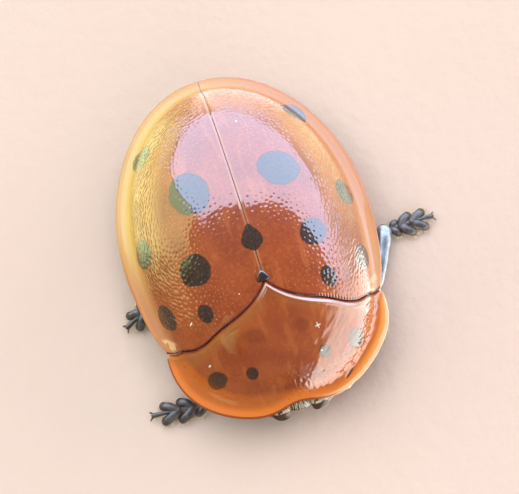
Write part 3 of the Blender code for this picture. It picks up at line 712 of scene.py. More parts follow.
def plate(top, ground, radii, thick, **values):
    """Closed plate as a skin: the shaped upper grid with rolled edges and a plain lower face."""
    border = ROLL_STEPS + 1
    full = rolled(top, radii, thick)
    rows, columns = full.shape[:2]
    margins = ((border, border), (border, border), (0, 0))
    lower = np.pad(ground, margins, mode="edge") - np.pad(grid_normals(ground), margins, mode="edge") * thick
    row_marks = [*range(0, rows - 1, LOWER_BLOCK), rows - 1]
    column_marks = [*range(0, columns - 1, LOWER_BLOCK), columns - 1]
    extra = {}
    inside = []
    for i in row_marks[1:-1]:
        for j in column_marks[1:-1]:
            extra[(i, j)] = rows * columns + len(inside)
            inside.append(lower[min(max(i, border), rows - 1 - border),
                                min(max(j, border), columns - 1 - border)])

    def corner(i, j):
        return extra.get((i, j), i * columns + j)

    faces = grid_faces(rows, columns)
    for i0, i1 in zip(row_marks, row_marks[1:]):
        for j0, j1 in zip(column_marks, column_marks[1:]):
            ring = [(i0, j) for j in (range(j0, j1) if i0 == 0 else (j0,))]
            ring += [(i, j1) for i in (range(i0, i1) if j1 == columns - 1 else (i0,))]
            ring += [(i1, j) for j in (range(j1, j0, -1) if i1 == rows - 1 else (j1,))]
            ring += [(i, j0) for i in (range(i1, i0, -1) if j0 == 0 else (i1,))]
            faces.append(tuple(corner(i, j) for i, j in reversed(ring)))
    spread = {}
    for name, grid in values.items():
        spread[name] = np.concatenate((np.pad(grid, border, mode="edge").ravel(), np.zeros(len(inside))))
    skin = Skin()
    skin.add(np.concatenate((full.reshape(-1, 3), np.array(inside))), faces, **spread)
    return skin


def dimple(grid, normals, spots, depths, widths, stretch):
    """Depth of the pits over a grid, and how far inside a pit each point is."""
    points = grid.reshape(-1, 3)
    flat_normals = normals.reshape(-1, 3)
    tree = kdtree.KDTree(len(points))
    for i, point in enumerate(points):
        tree.insert(point, i)
    tree.balance()
    sunk = np.zeros(len(points))
    inside = np.zeros(len(points))
    for index, depth, width, long in zip(spots, depths, widths, stretch):
        centre = points[index]
        outward = centre - np.array((0.0, CROWN_Y, centre[2]))
        way = np.cross(flat_normals[index], outward)
        way /= max(np.linalg.norm(way), 1e-9)
        near = [found[1] for found in tree.find_range(centre, 2.0 * width * max(long, 1.0))]
        gap = points[near] - centre
        along = gap @ way
        rest = np.sum(gap * gap, axis=1) - along ** 2
        share = np.exp(-(rest / width ** 2 + along ** 2 / (width * long) ** 2))
        sunk[near] = np.maximum(sunk[near], depth * share)
        inside[near] = np.maximum(inside[near], share)
    return sunk.reshape(grid.shape[:2]), inside.reshape(grid.shape[:2])


# Materials

class Value:
    """An output socket; arithmetic on it adds Math nodes."""

    def __init__(self, paint, socket):
        self.paint = paint
        self.socket = socket

    def math(self, operation, *others):
        """Math node fed with this value first."""
        return self.paint.node("ShaderNodeMath", {"operation": operation}, dict(enumerate((self, *others))))

    def __add__(self, other):
        return self.math("ADD", other)

    __radd__ = __add__

    def __sub__(self, other):
        return self.math("SUBTRACT", other)

    def __rsub__(self, other):
        return self.paint.node("ShaderNodeMath", {"operation": "SUBTRACT"}, {0: other, 1: self})

    def __mul__(self, other):
        return self.math("MULTIPLY", other)

    __rmul__ = __mul__

    def __truediv__(self, other):
        return self.math("DIVIDE", other)

    def __abs__(self):
        return self.math("ABSOLUTE")

    def or_more(self, other):
        """The greater of the two."""
        return self.math("MAXIMUM", other)

    def root(self):
        """Square root."""
        return self.math("SQRT")

    def rise(self, low, high):
        """0 up to low, 1 from high on, eased between; high below low turns it round."""
        settings = {"interpolation_type": "SMOOTHSTEP", "clamp": True}
        inputs = {0: self, 1: low, 2: high} if low < high else {0: self, 1: high, 2: low, 3: 1.0, 4: 0.0}
        return self.paint.node("ShaderNodeMapRange", settings, inputs)

    def between(self, low, full_low, full_high, high):
        """0 outside low and high, 1 inside the two middle numbers."""
        return self.rise(low, full_low) * self.rise(high, full_high)


class Paint:
    """One material: nodes feeding the shader that every new material starts with."""

    def __init__(self, name, roughness, **constants):
        self.material = bpy.data.materials.new(name)
        self.material.use_nodes = True
        self.tree = self.material.node_tree
        self.shader = self.tree.nodes["Principled BSDF"]
        self.set("Roughness", roughness)
        for words, value in constants.items():
            self.set(words.replace("_", " "), value)

    def feed(self, socket, value):
        """Link a value to a socket, or set a number, vector or colour on it."""
        if isinstance(value, Value):
            self.tree.links.new(value.socket, socket)
        elif socket.type == "RGBA":
            socket.default_value = (*value, 1.0)
        else:
            socket.default_value = value

    def set(self, name, value):
        """Feed a socket of the shader."""
        self.feed(self.shader.inputs[name], value)

    def node(self, kind, settings=None, inputs=None, output=0):
        """Add a node: its settings first, then the values or links of its sockets."""
        made = self.tree.nodes.new(kind)
        for key, value in (settings or {}).items():
            setattr(made, key, value)
        for key, value in (inputs or {}).items():
            self.feed(made.inputs[key], value)
        return Value(self, made.outputs[output])

    def place(self, stretch=(1.0, 1.0, 1.0)):
        """Place on the piece in millimetres of the beetle's frame, stretched if asked."""
        found = self.node("ShaderNodeTexCoord", output="Object")
        scale = [value / METRES_PER_MM for value in stretch]
        shift = [-value * size for value, size in zip(ORIGIN, stretch)]
        return self.node("ShaderNodeVectorMath", {"operation": "MULTIPLY_ADD"},
                         {0: found, 1: scale, 2: shift})

    def axes(self):
        """X, y and z of the place on the piece."""
        place = self.place()
        return [self.node("ShaderNodeSeparateXYZ", None, {0: place}, i) for i in range(3)]

    def value(self, name):
        """A value kept with the mesh."""
        return self.node("ShaderNodeAttribute", {"attribute_name": name}, None, "Fac")

    def noise(self, scale, detail=2.0, stretch=(1.0, 1.0, 1.0)):
        """Noise from 0 to 1 with so many lumps to the millimetre."""
        inputs = {"Vector": self.place(stretch), "Scale": scale, "Detail": detail}
        return self.node("ShaderNodeTexNoise", None, inputs)

    def cells(self, scale):
        """Distance to the nearest of scattered points."""
        inputs = {"Vector": self.place(), "Scale": scale}
        return self.node("ShaderNodeTexVoronoi", None, inputs, "Distance")

    def mix(self, share, first, second):
        """Second colour over the first by a share."""
        settings = {"data_type": "RGBA", "clamp_factor": True}
        return self.node("ShaderNodeMix", settings, {0: share, 6: first, 7: second}, 2)

    def coats(self, ground, *coats):
        """Coats of colour over a ground, each a share and a colour, the last one on top."""
        for share, colour in coats:
            ground = self.mix(share, ground, colour)
        return ground

    def bump(self, height, distance):
        """Fine relief, its distance in millimetres."""
        inputs = {"Strength": 1.0, "Distance": distance * METRES_PER_MM, "Height": height}
        self.set("Normal", self.node("ShaderNodeBump", None, inputs))

    def spots(self, x, y, spots, wobble, soft):
        """1 inside any of the spots, 0 outside, with slightly uneven edges."""
        found = None
        for centre_x, centre_y, half_x, half_y, turn in spots:
            cos, sin = math.cos(math.radians(turn)), math.sin(math.radians(turn))
            dx, dy = x - centre_x, y - centre_y
            u = (dx * cos + dy * sin) / half_x
            v = (dy * cos - dx * sin) / half_y
            distance = (u * u + v * v).root() + wobble
            mask = distance.rise(1.0 + soft, 1.0 - soft)
            found = mask if found is None else found.or_more(mask)
        return found


def wing_case_paint(shell):
    """Orange lacquer with dark spots, pitted, paler toward the margin; with painted glints in the disc's
    pits, painted shade in the flank's pits, painted highlights beside the suture and on the shoulders, and
    painted light on the margin and flank that differs from side to side.
    """
    paint = Paint("wing_case", 0.4, Coat_Weight=1.0, Coat_Roughness=0.045, Coat_IOR=1.85,
                  Specular_IOR_Level=0.15)
    x, y, _ = paint.axes()
    reach, edge, base, pit = (paint.value(name) for name in ("reach", "edge", "base", "pit"))
    cloud, fine = paint.noise(0.9, 3.0), paint.noise(9.0, 3.0)
    seam, tail, left = abs(x), y.rise(0.5, 4.0), x.rise(-2.5, 2.5)
    flank, margin = reach.rise(*FLANK_REACH), reach.rise(*MARGIN_REACH)
    streaks = paint.noise(1.3, 2.0, (2.4, 0.5, 1.0)).rise(0.54, 0.66) * reach.rise(*STREAK_REACH)
    body = paint.coats(
        paint.mix(cloud.rise(0.3, 0.7), shell.disc_colour, shell.disc_deep_colour),
        (fine.rise(0.45, 0.8) * 0.25, shell.streak_colour),
        (streaks * 0.22, shell.streak_colour),
        (flank * (0.05 + 0.75 * tail), shell.flank_colour))
    # painted light on the margin: yellower toward the tail on the camera's left, and a painted cream
    # highlight in front on the camera's right
    lip = paint.mix(tail * (1.0 - left), shell.flange_colour, shell.lit_yellow_colour)
    lip = paint.mix((1.0 - tail) * left * 0.35, lip, shell.cream_highlight_colour)
    slope = flank * (1.0 - margin) * base.rise(0.9, 2.6).or_more(left)
    # painted highlight: a pale glint laid in each pit of the disc, inside the flank
    pit_glints = pit.rise(0.45, 0.95) * (1.0 - flank) * reach.rise(*GLINT_REACH)
    # painted highlight: yellow laid on the raised net between the flank's pits, on the camera's left only
    ridge_highlights = slope * pit.rise(0.3, 0.05) * (1.0 - left)
    # painted shade: the flank's pits darkened, more on the camera's left
    shaded_slits = slope * pit.rise(0.3, 0.75) * (1.0 - 0.6 * left)
    wobble = (paint.noise(2.2, 1.0) - 0.5) * 0.22
    # painted highlight: pale broken marks on both shoulders
    shoulder_highlights = paint.spots(x, y, SHOULDER_HIGHLIGHTS, wobble, 0.3) * paint.noise(4.5, 1.0).rise(0.62, 0.5)
    mask = paint.spots(x, y, CASE_SPOTS, wobble, 0.05)
    spot = paint.mix(fine.rise(0.35, 0.7), shell.spot_colour, shell.spot_worn_colour)
    paint.set("Base Color", paint.coats(
        body,
        (margin * 0.9, lip),
        (edge.between(0.04, 0.09, 0.10, 0.16) * 0.6, shell.flank_colour),
        (edge.rise(0.06, 0.02) * 0.5, shell.edge_colour),
        (pit_glints * 0.5, shell.glint_colour),
        (ridge_highlights * 0.45, shell.lit_yellow_colour),
        (shaded_slits, shell.pit_shade_colour),
        # painted highlight: a thin pale line beside the suture
        (seam.rise(0.10, 0.05) * 0.25, shell.glint_colour),
        (seam.rise(0.025, 0.01) * 0.6, shell.seam_and_shade_colour),
        (base.rise(0.05, 0.01) * 0.9, shell.seam_and_shade_colour),
        (shoulder_highlights * 0.7, shell.cream_highlight_colour),
        (paint.spots(x, y, CASE_FLECKS, wobble, 0.3), shell.fleck_colour),
        (mask * 0.97, spot)))
    clear = (0.84 - 0.25 * flank) * (1.0 - margin * (0.5 + 0.2 * (1.0 - left)))
    paint.set("Coat Weight", clear.or_more(mask))
    paint.bump(paint.noise(14.0, 3.0) * 0.6 + paint.noise(45.0, 2.0) * 0.2, 0.0012)
    return paint.material


def shield_paint(shell):
    """The shield's lacquer: smoother, with four spots and a clear orange margin; a painted cream highlight
    on its edge and a painted reflection along its hind edge on the camera's right, and painted shade along
    its edge on the camera's left.
    """
    paint = Paint("shield", 0.4, Coat_Weight=1.0, Coat_Roughness=0.07, Coat_IOR=1.8,
                  Specular_IOR_Level=0.15)
    x, y, _ = paint.axes()
    reach, edge, hind, slit = (paint.value(name) for name in ("reach", "edge", "base", "pit"))
    cloud, fine = paint.noise(1.1, 3.0), paint.noise(11.0, 3.0)
    streaks = paint.noise(1.5, 2.0, (2.6, 0.5, 1.0)).rise(0.53, 0.66)
    left, outer = x.rise(0.8, 3.0), edge.rise(0.34, 0.12)
    # painted reflection: a pale lavender line along the shield's hind edge, on the camera's right
    bead_reflection = hind.between(0.01, 0.04, 0.08, 0.13) * x.between(-0.5, 0.1, 2.3, 2.8)
    wobble = (paint.noise(3.0, 1.0) - 0.5) * 0.3
    mask = paint.spots(x, y, SHIELD_SPOTS, wobble, 0.12)
    spot = paint.mix(fine.rise(0.35, 0.7), shell.spot_colour, shell.spot_worn_colour)
    paint.set("Base Color", paint.coats(
        paint.mix(cloud.rise(0.3, 0.7), shell.shield_colour, shell.shield_deep_colour),
        (fine.rise(0.5, 0.8) * 0.2, shell.streak_colour),
        (streaks * 0.2, shell.streak_colour),
        (reach.rise(*SHIELD_MARGIN_REACH) * 0.5, shell.shield_flange_colour),
        (outer, shell.shield_flange_colour),
        (outer * left * 0.8, shell.amber_colour),
        # painted highlight: a cream edge on the camera's right
        (edge.rise(0.13, 0.04) * x.rise(0.2, 1.8), shell.cream_highlight_colour),
        # painted shade: a dark edge along the rim on the camera's left half
        (edge.rise(0.035, 0.015) * x.rise(1.6, 0.4) * 0.7, shell.seam_and_shade_colour),
        (slit.rise(0.15, 0.9) * 0.95, shell.slit_colour),
        (hind.rise(0.5, 0.08) * 0.5, shell.hind_band_colour),
        (bead_reflection * 0.6, shell.bead_reflection_colour),
        (hind.rise(0.03, 0.0) * 0.8, shell.seam_and_shade_colour),
        (paint.spots(x, y, FAINT_SPOTS, wobble, 0.4) * 0.45, shell.faint_spot_colour),
        (mask * 0.92, spot),
        (paint.spots(x, y, SHIELD_FLECKS, wobble, 0.3), shell.fleck_colour)))
    paint.set("Coat Weight", ((0.8 - 0.5 * outer) * hind.rise(0.01, 0.06)).or_more(mask))
    relief = paint.noise(6.0, 3.0, (1.0, 2.6, 1.0)) * 0.7 + paint.noise(26.0, 2.0) * 0.3
    paint.bump(relief * (0.5 + 1.5 * x.rise(0.3, 1.5)), 0.005)
    return paint.material


def cuticle_paint(name, dark, light, scale, roughness=0.34, coat=1.0, relief=0.003, polish=0.3, gloss=1.8):
    """Dark hard skin with fine pits and a paler haze: worn on most parts, a painted sheen on thighs and
    shins.
    """
    paint = Paint(name, roughness, Coat_Weight=coat, Coat_Roughness=polish, Coat_IOR=gloss)
    # haze: wear on most parts, a painted sheen on thighs and shins
    haze = paint.noise(scale * 0.4, 3.0).rise(0.4, 0.75)
    fine = paint.noise(scale * 3.0, 3.0).rise(0.45, 0.7)
    paint.set("Base Color", paint.mix(haze * 0.7 + fine * 0.3, dark, light))
    pits = paint.cells(scale * 1.5).rise(0.0, 0.45)
    paint.bump(pits * 0.6 + paint.noise(scale * 4.0, 3.0) * 0.4, relief)
    return paint.material


def hair_paint(name, root, tip):
    """Hair, paler toward the tip."""
    paint = Paint(name, 0.45, Specular_IOR_Level=0.6)
    worn = paint.noise(5.0, 2.0).rise(0.4, 0.7) * 0.4
    paint.set("Base Color", paint.coats(root, (paint.value("tip"), tip), (worn, root)))
    paint.bump(paint.noise(60.0, 1.0), 0.002)
    return paint.material


def eye_paint(body):
    """Dark brown facets under a clear gloss, with a pale bloom over the top."""
    paint = Paint("eye", 0.3, Coat_Weight=0.4, Coat_Roughness=0.1, Coat_IOR=1.5)
    _, y, z = paint.axes()
    tone = paint.noise(3.0, 2.0).rise(0.35, 0.65)
    upper = (z - 1.16) * 1.6 + (y + 3.42) * 2.6 + (paint.noise(5.0, 2.0) - 0.5) * 0.3
    bloom = upper.rise(0.0, 0.1) * paint.noise(7.0, 1.0).rise(0.68, 0.58)
    paint.set("Base Color", paint.coats(
        body.eye_colour,
        (paint.value("facet") * 0.7 + tone * 0.3, body.eye_light_colour),
        (bloom, body.eye_pale_colour)))
    paint.bump(paint.noise(40.0, 2.0), 0.002)
    return paint.material


def floor_paint(stage):
    """Pale matt paper with a faint tooth."""
    paint = Paint("floor", 0.85, Specular_IOR_Level=0.0)
    tone = paint.noise(0.12, 4.0).rise(0.3, 0.7)
    paint.set("Base Color", paint.mix(tone * 0.5, stage.floor_colour, stage.floor_shade_colour))
    paint.bump(paint.noise(2.0, 4.0), 0.05)
    return paint.material


# Settings

def colour(name, text, value):
    """A colour that the user can change."""
    return FloatVectorProperty(name=name, description=text, default=value, subtype="COLOR",
                               size=3, min=0.0, max=1.0)


def share_of(name, text, value, low=0.0, high=2.0):
    """A plain factor that the user can change."""
    return FloatProperty(name=name, description=text, default=value, min=low, max=high,
                         subtype="FACTOR")


def length_of(name, text, millimetres):
    """A length that the user can change, kept in metres."""
    return FloatProperty(name=name, description=text, default=millimetres * METRES_PER_MM,
                         min=0.0, max=0.01, precision=6, subtype="DISTANCE", unit="LENGTH")


class BeetleShellSettings(bpy.types.PropertyGroup):
    """Pits and colours of wing cases and shield."""
    pit_spacing: length_of("Pit spacing", "Distance between two pits on the disc", 0.14)
    pit_depth: length_of("Pit depth", "Depth of a pit on the disc", 0.0065)
    pit_width: length_of("Pit width", "Half width of a pit on the disc", 0.027)
    disc_colour: colour("Disc", "Orange of the disc", (0.385, 0.076, 0.015))
    disc_deep_colour: colour("Disc, deep", "Deeper orange of the disc", (0.29, 0.050, 0.010))
    streak_colour: colour("Streaks", "Paler streaks without pits", (0.70, 0.22, 0.05))
    flank_colour: colour("Flank", "Yellower orange of the flanks", (0.74, 0.32, 0.07))
    flange_colour: colour("Flange", "Margin outside the disc", (0.58, 0.27, 0.13))
    # painted light: yellow of the margin toward the tail and of the flank's raised net, on the camera's left
    lit_yellow_colour: colour("Band", "Yellow parts of the margin", (0.76, 0.56, 0.18))
    # painted highlight: pale colour of the glints in the disc's pits and of the line beside the suture
    glint_colour: colour("Dots", "Pale ground of the pits on the disc", (0.82, 0.45, 0.2))
    edge_colour: colour("Edge", "Thin outer edge", (0.45, 0.13, 0.03))
    # painted shade: dark colour laid in the flank's pits
    pit_shade_colour: colour("Pits", "Dark ground of the pits on the flanks", (0.16, 0.045, 0.010))
    # dark rims of the seams, and painted shade along the shield's edge on the camera's left
    seam_and_shade_colour: colour("Seam", "Dark rim along the seams", (0.15, 0.018, 0.016))
    spot_colour: colour("Spots", "Dark spots", (0.018, 0.012, 0.010))
    spot_worn_colour: colour("Spots, thin", "Thinner places in the spots", (0.05, 0.022, 0.014))
    shield_colour: colour("Shield", "Orange of the shield", (0.40, 0.09, 0.017))
    shield_deep_colour: colour("Shield, deep", "Deeper tone of the shield", (0.30, 0.055, 0.012))
    shield_flange_colour: colour("Shield margin", "Margin of the shield", (0.78, 0.22, 0.03))
    hind_band_colour: colour("Hind band", "Olive tone along the shield's hind edge", (0.42, 0.16, 0.03))
    # painted highlight: cream of the shield's edge and of the wing cases' front margin on the camera's
    # right, and of both shoulders
    cream_highlight_colour: colour("Shield edge", "Pale outer edge of the shield", (0.98, 0.66, 0.38))
    amber_colour: colour("Shield margin, left", "Lighter amber of the margin's left", (0.95, 0.42, 0.08))
    slit_colour: colour("Slit", "Dark ground of the slit in the margin", (0.10, 0.02, 0.008))
    fleck_colour: colour("Flecks", "Tiny pale flecks", (0.9, 0.82, 0.74))
    # painted reflection along the shield's hind edge
    bead_reflection_colour: colour("Shield bead", "Pale bead along the shield's hind edge", (0.78, 0.68, 0.76))
    faint_spot_colour: colour("Faint spots", "Two faint spots of the shield", (0.16, 0.02, 0.008))


class BeetleBodySettings(bpy.types.PropertyGroup):
    """Colours of head, legs and underside."""
    leg_colour: colour("Legs", "Black of the legs", (0.010, 0.010, 0.014))
    # painted sheen: the blue-grey haze of the legs
    leg_sheen_colour: colour("Legs, haze", "Blue-grey haze on the legs", (0.36, 0.40, 0.55))
    foot_colour: colour("Feet", "Brown-black of the feet", (0.032, 0.024, 0.022))
    foot_haze_colour: colour("Feet, haze", "Grey haze on the feet", (0.15, 0.13, 0.13))
    pad_colour: colour("Pads", "Soles of the feet", (0.05, 0.035, 0.022))
    claw_colour: colour("Claws", "Claws", (0.06, 0.02, 0.008))
    head_colour: colour("Head", "Head and underside", (0.030, 0.014, 0.009))
    head_light_colour: colour("Head, light", "Lighter parts of them", (0.11, 0.045, 0.022))
    feeler_colour: colour("Antenna base", "First joints of the antennae", (0.40, 0.13, 0.03))
    eye_colour: colour("Eyes", "Ground of the eyes", (0.07, 0.03, 0.02))
    eye_light_colour: colour("Eyes, light", "Facets of the eyes", (0.13, 0.065, 0.045))
    eye_pale_colour: colour("Eyes, pale", "Pale bloom on top of the eyes", (0.92, 0.86, 0.68))
    hair_colour: colour("Hair", "Pale hairs", (0.95, 0.86, 0.64))
    hair_root_colour: colour("Hair, root", "Roots of the hairs", (0.45, 0.28, 0.12))


class BeetleStageSettings(bpy.types.PropertyGroup):
    """Floor and light."""
    floor_colour: colour("Floor", "Pale floor", (0.82, 0.70, 0.66))
    floor_shade_colour: colour("Floor, shade", "Second tone of the floor", (0.80, 0.66, 0.62))
    window_strength: share_of("Window", "Strength of the big light behind the tail", 1.0, 0.0, 5.0)
    side_strength: share_of("Side light", "Strength of the light beside the beetle", 1.0, 0.0, 5.0)
    air_strength: share_of("Air", "Light from all round", 1.0, 0.0, 5.0)


# Plates

def case_grid(rows, columns):
    """Plan of the left wing case: rows from base to tip, columns from suture to rim."""
    start = math.asin((float(base_edge(SHOULDER_X)) - CROWN_Y) / BASE_TAPER)

    def rim(t):
        angle = start + (math.pi / 2.0 - start) * t * TIP_SHARE
        length = np.where(angle > 0.0, REAR_LENGTH, BASE_TAPER)
        y = CROWN_Y + length * np.sin(angle)
        inset = SHOULDER_INSET * np.exp((base_edge(SHOULDER_X) - y) / SHOULDER_FADE)
        return HALF_WIDTH * np.cos(angle) - inset, y

    def point(s, t):
        rim_x, rim_y = rim(t)
        x = SEAM_HALF + s * (rim_x - SEAM_HALF)
        return x, rim_y + (base_edge(x) - base_edge(SHOULDER_X)) * (1.0 - t) ** 3

    across = spaced(lambda s: on_dome(*point(s, np.full_like(s, 0.45))), columns)
    along = spaced(lambda t: on_dome(*point(np.full_like(t, 0.4), t)), rows)
    s, t = np.meshgrid(across, along)
    return point(s, t)


def case_pits(base, normals, reach, edge, from_base, seed, shell):
    """Depth of a wing case's pits, and how far inside one each point is."""
    flat = base.reshape(-1, 3)
    x, rim, back = flat[:, 0], edge.ravel(), from_base.ravel()
    flank = ease(reach.ravel(), *PIT_FLANK_REACH) * ease(back, *PIT_FLANK_FROM_BASE)
    coarse = ease(x, *PIT_COARSE_X) * ease(back, *PIT_COARSE_FROM_BASE)
    pitches = (shell.pit_spacing / METRES_PER_MM * (1.0 - PIT_CROWDING * flank)
               * (1.0 + PIT_THINNING * ease(1.0 - x)))
    pitches *= 1.0 + PIT_UNEVENNESS * lattice_noise(flat, 0.7, 3)
    streak = lattice_noise(flat * np.array((2.2, 0.3, 0.6)), 1.0, 5)
    free = (rim > PIT_FREE_RIM) & (x > PIT_FREE_SUTURE) & (back > PIT_FREE_BASE)
    free &= (streak < STREAK_LIMIT) | (flank > 0.5)
    spots = [i for i in scatter(flat, pitches, seed) if free[i]]
    swing = np.random.default_rng(seed + 20).uniform(*PIT_SWING, len(spots))
    flank, coarse = flank[spots], coarse[spots]
    depths = shell.pit_depth / METRES_PER_MM * swing * (1.0 + 1.8 * flank + 0.9 * coarse)
    widths = shell.pit_width / METRES_PER_MM * swing * (1.0 + 0.2 * flank + 0.3 * coarse)
    return dimple(base, normals, spots, depths, widths, 1.0 + 1.6 * flank)


def make_wing_case(name, side, shell, material):
    """One wing case, pitted, with a ridge along the suture and a bent-out margin."""
    x, y = case_grid(*CASE_GRID)
    base = on_dome(x, y)
    normals = grid_normals(base)
    reach, edge = disc_reach(x, y), rim_distance(x, y)
    from_base = y - base_edge(x)
    sunk, inside = case_pits(base, normals, reach, edge, from_base, 11 if side > 0 else 12, shell)
    lift = fold(x, *SUTURE_RIDGE) + fold(x, *SUTURE_FALL) - sunk
    lift += fold(edge, *RIM_BEAD) + fold(from_base, *CASE_BASE_FALL)
    lift += 0.002 * lattice_noise(base, 0.55, 7) * ease(edge, 0.0, 0.5)
    lift += 0.0025 * lattice_noise(base * np.array((1.6, 0.45, 0.6)), 0.5, 8) * ease(edge, 0.3, 0.8)
    teeth = between(x, *TOOTH_SPAN) * fold(from_base, *TOOTH_ROW)
    wave = np.cos(2.0 * np.pi * x / TOOTH_PITCH)
    lift += TOOTH_HEIGHT * wave * teeth
    inside = np.maximum(inside, teeth * (0.5 - 0.5 * wave))
    lift -= HOLLOW_DEPTH * ease(np.hypot(x, HOLLOW_SQUASH * (y - HOLLOW_Y)), *HOLLOW_RADII)
    skin = plate(base + normals * lift[..., None], base, CASE_ROLLS, PLATE_THICK,
                 reach=reach, edge=edge, base=from_base, pit=inside)
    if side < 0:
        skin.corners = [part * np.array((-1.0, 1.0, 1.0)) for part in skin.corners]
        skin.faces = [tuple(reversed(face)) for face in skin.faces]
    skin.build(name, material, "wing_case", name.replace("case", "elytron"))


def shield_grid(rows, columns):
    """Plan of the shield: columns round the rim from right to left, rows from hind edge to rim."""
    corner_y = float(base_edge(PRONOTUM_HALF)) - SHIELD_SEAM

    def rim(s):
        turn = np.minimum(np.abs(s) / ROUND_SHARE, 1.0)
        angle = turn * math.pi / 2.0
        bend = 2.0 / PRONOTUM_POWER
        inset = fold(s, *FRONT_INSET)
        x = PRONOTUM_HALF * np.sin(angle) ** bend
        y = PRONOTUM_WIDEST_Y - PRONOTUM_FRONT * np.maximum(np.cos(angle), 0.0) ** bend
        y = y + fold(x, NOTCH_DEPTH, 0.0, NOTCH_HALF) + inset
        straight = np.clip((np.abs(s) - ROUND_SHARE) / (1.0 - ROUND_SHARE), 0.0, 1.0)
        return np.sign(s) * (x - 0.7 * inset), y + (corner_y - PRONOTUM_WIDEST_Y) * straight

    def point(s, t):
        rim_x, rim_y = rim(s)
        hind_x = PRONOTUM_HALF * np.sign(s) * np.abs(s) ** 0.9
        hind_y = base_edge(hind_x) - SHIELD_SEAM
        return hind_x + (rim_x - hind_x) * t, hind_y + (rim_y - hind_y) * t

    def aside(share):
        return CORNER_SHARE * (2.0 * share - 1.0)

    across = spaced(lambda share: on_dome(*point(aside(share), np.full_like(share, 0.5))), columns)
    along = spaced(lambda t: on_dome(*point(np.full_like(t, 0.25), t)), rows)
    s, t = np.meshgrid(aside(across), along)
    x, y = point(s, t)
    rim_x, rim_y = rim(s)
    return x, y, np.hypot(rim_x - x, rim_y - y)


def shield_pits(base, normals, reach, hind):
    """Depth of the shield's pits, coarse in the groove, and how far inside one each point is."""
    flat = base.reshape(-1, 3)
    pitches = np.full(len(flat), SHIELD_PIT_PITCH) * (1.0 + 0.3 * lattice_noise(flat, 0.8, 31))
    in_groove = (np.abs(reach - GROOVE_REACH) < GROOVE_HALF).ravel()
    on_disc = ((reach < SHIELD_DISC_REACH) & (hind > SHIELD_DISC_HIND)).ravel() & ~in_groove
    picked = scatter(flat, pitches, 17)
    grooved = [i for i in picked if in_groove[i]]
    fine = [i for i in picked if on_disc[i]]
    chance = np.random.default_rng(18)
    depths, widths = (
        np.concatenate((chance.uniform(*coarse, len(grooved)), chance.uniform(*small, len(fine))))
        for coarse, small in zip(GROOVE_PITS, FINE_PITS))
    spots = grooved + fine
    sunk, inside = dimple(base, normals, spots, depths, widths, [SHIELD_PIT_STRETCH] * len(spots))
    return sunk, inside * np.where(np.abs(reach - GROOVE_REACH) < 0.06, 0.5, 0.15)


def make_shield(material):
    """The shield over head and forebody: domed disc, groove, bent-out margin, faint wrinkles."""
    x, y, edge = shield_grid(*SHIELD_GRID)
    base = on_dome(x, y)
    normals = grid_normals(base)
    reach = disc_reach(x, y)
    hind = base_edge(x) - SHIELD_SEAM - y
    sunk, inside = shield_pits(base, normals, reach, hind)
    lift = 0.006 * lattice_noise(base, 0.6, 33) - sunk
    creases = np.stack((x + y, y - x, base[..., 2]), -1) * np.array((0.35, 1.6, 1.0))
    lift += 0.009 * lattice_noise(creases, 0.22, 34) * ease(x, -0.6, 1.2) * ease(hind, 0.2, 0.6)
    lift += 0.005 * lattice_noise(creases, 0.13, 35) * ease(x, -0.6, 1.2)
    lift += fold(edge, *RIM_BEAD)
    lift += fold(hind, *SHIELD_BEAD) * (0.25 + 0.75 * between(x, -1.0, 0.1, 2.4, 2.9))
    lift += fold(hind, *SHIELD_HIND_FALL) * between(x, 0.7, 1.3, 2.0, 2.6)
    centre_x, centre_y, half_long, half_wide, turn = SLIT
    cos, sin = math.cos(math.radians(turn)), math.sin(math.radians(turn))
    along = ((x - centre_x) * cos + (y - centre_y) * sin) / half_long
    across = ((y - centre_y) * cos - (x - centre_x) * sin) / half_wide
    slit = np.exp(-(along ** 4 + across ** 2))
    lift -= SLIT_DEPTH * slit
    skin = plate(base + normals * lift[..., None], base, SHIELD_ROLLS, PLATE_THICK,
                 reach=reach, edge=edge, base=hind, pit=np.maximum(inside, slit))
    skin.build("shield", material, "pronotum_shield", "pronotum")


def make_scutellum(material):
    """The small raised triangle between the bases of the wing cases."""
    count = SCUTELLUM_GRID
    s, t = np.meshgrid(np.linspace(-1.0, 1.0, count), np.linspace(0.0, 1.0, count))
    half = SCUTELLUM_HALF * (1.0 - t ** 1.6) ** 0.7 * ease(t, -0.12, 0.16) + SCUTELLUM_TIP_HALF
    y = SCUTELLUM_Y + SCUTELLUM_LENGTH * t
    crown = ((1.0 - s ** 2) * (1.0 - (2.0 * t - 1.0) ** 2)) ** SCUTELLUM_FULLNESS
    z = dome_height(0.0 * y, y) - SCUTELLUM_SUNK + SCUTELLUM_CROWN * crown
    top = np.stack((s * half + SCUTELLUM_X, y, z), -1)
    full = np.concatenate((top, top[::-1] - np.array((0.0, 0.0, SCUTELLUM_THICK))))
    last = 2 * count - 1
    flat = grid_faces(count, count)
    faces = flat + [tuple(count * count + i for i in face) for face in flat]
    for i in range(count - 1):
        faces.append((i, last * count + i, last * count + i + 1, i + 1))
        faces.append(((count - 1) * count + i, (count - 1) * count + i + 1,
                      count * count + i + 1, count * count + i))
    for j in range(count - 1):
        low, far = (last - j) * count, (last - j - 1) * count
        faces.append((j * count, (j + 1) * count, far, low))
        faces.append((j * count + count - 1, low + count - 1, far + count - 1, (j + 1) * count + count - 1))
    skin = Skin()
    skin.add(full.reshape(-1, 3), faces)
    weld(skin.build("small_shield", material, "scutellum", "scutellum"))


def weld(thing):
    """Join the corners of a piece that stand in one place and turn its faces outward."""
    builder = bmesh.new()
    builder.from_mesh(thing.data)
    bmesh.ops.remove_doubles(builder, verts=builder.verts, dist=1e-8)
    bmesh.ops.recalc_face_normals(builder, faces=builder.faces)
    builder.to_mesh(thing.data)
    builder.free()


# Trunk

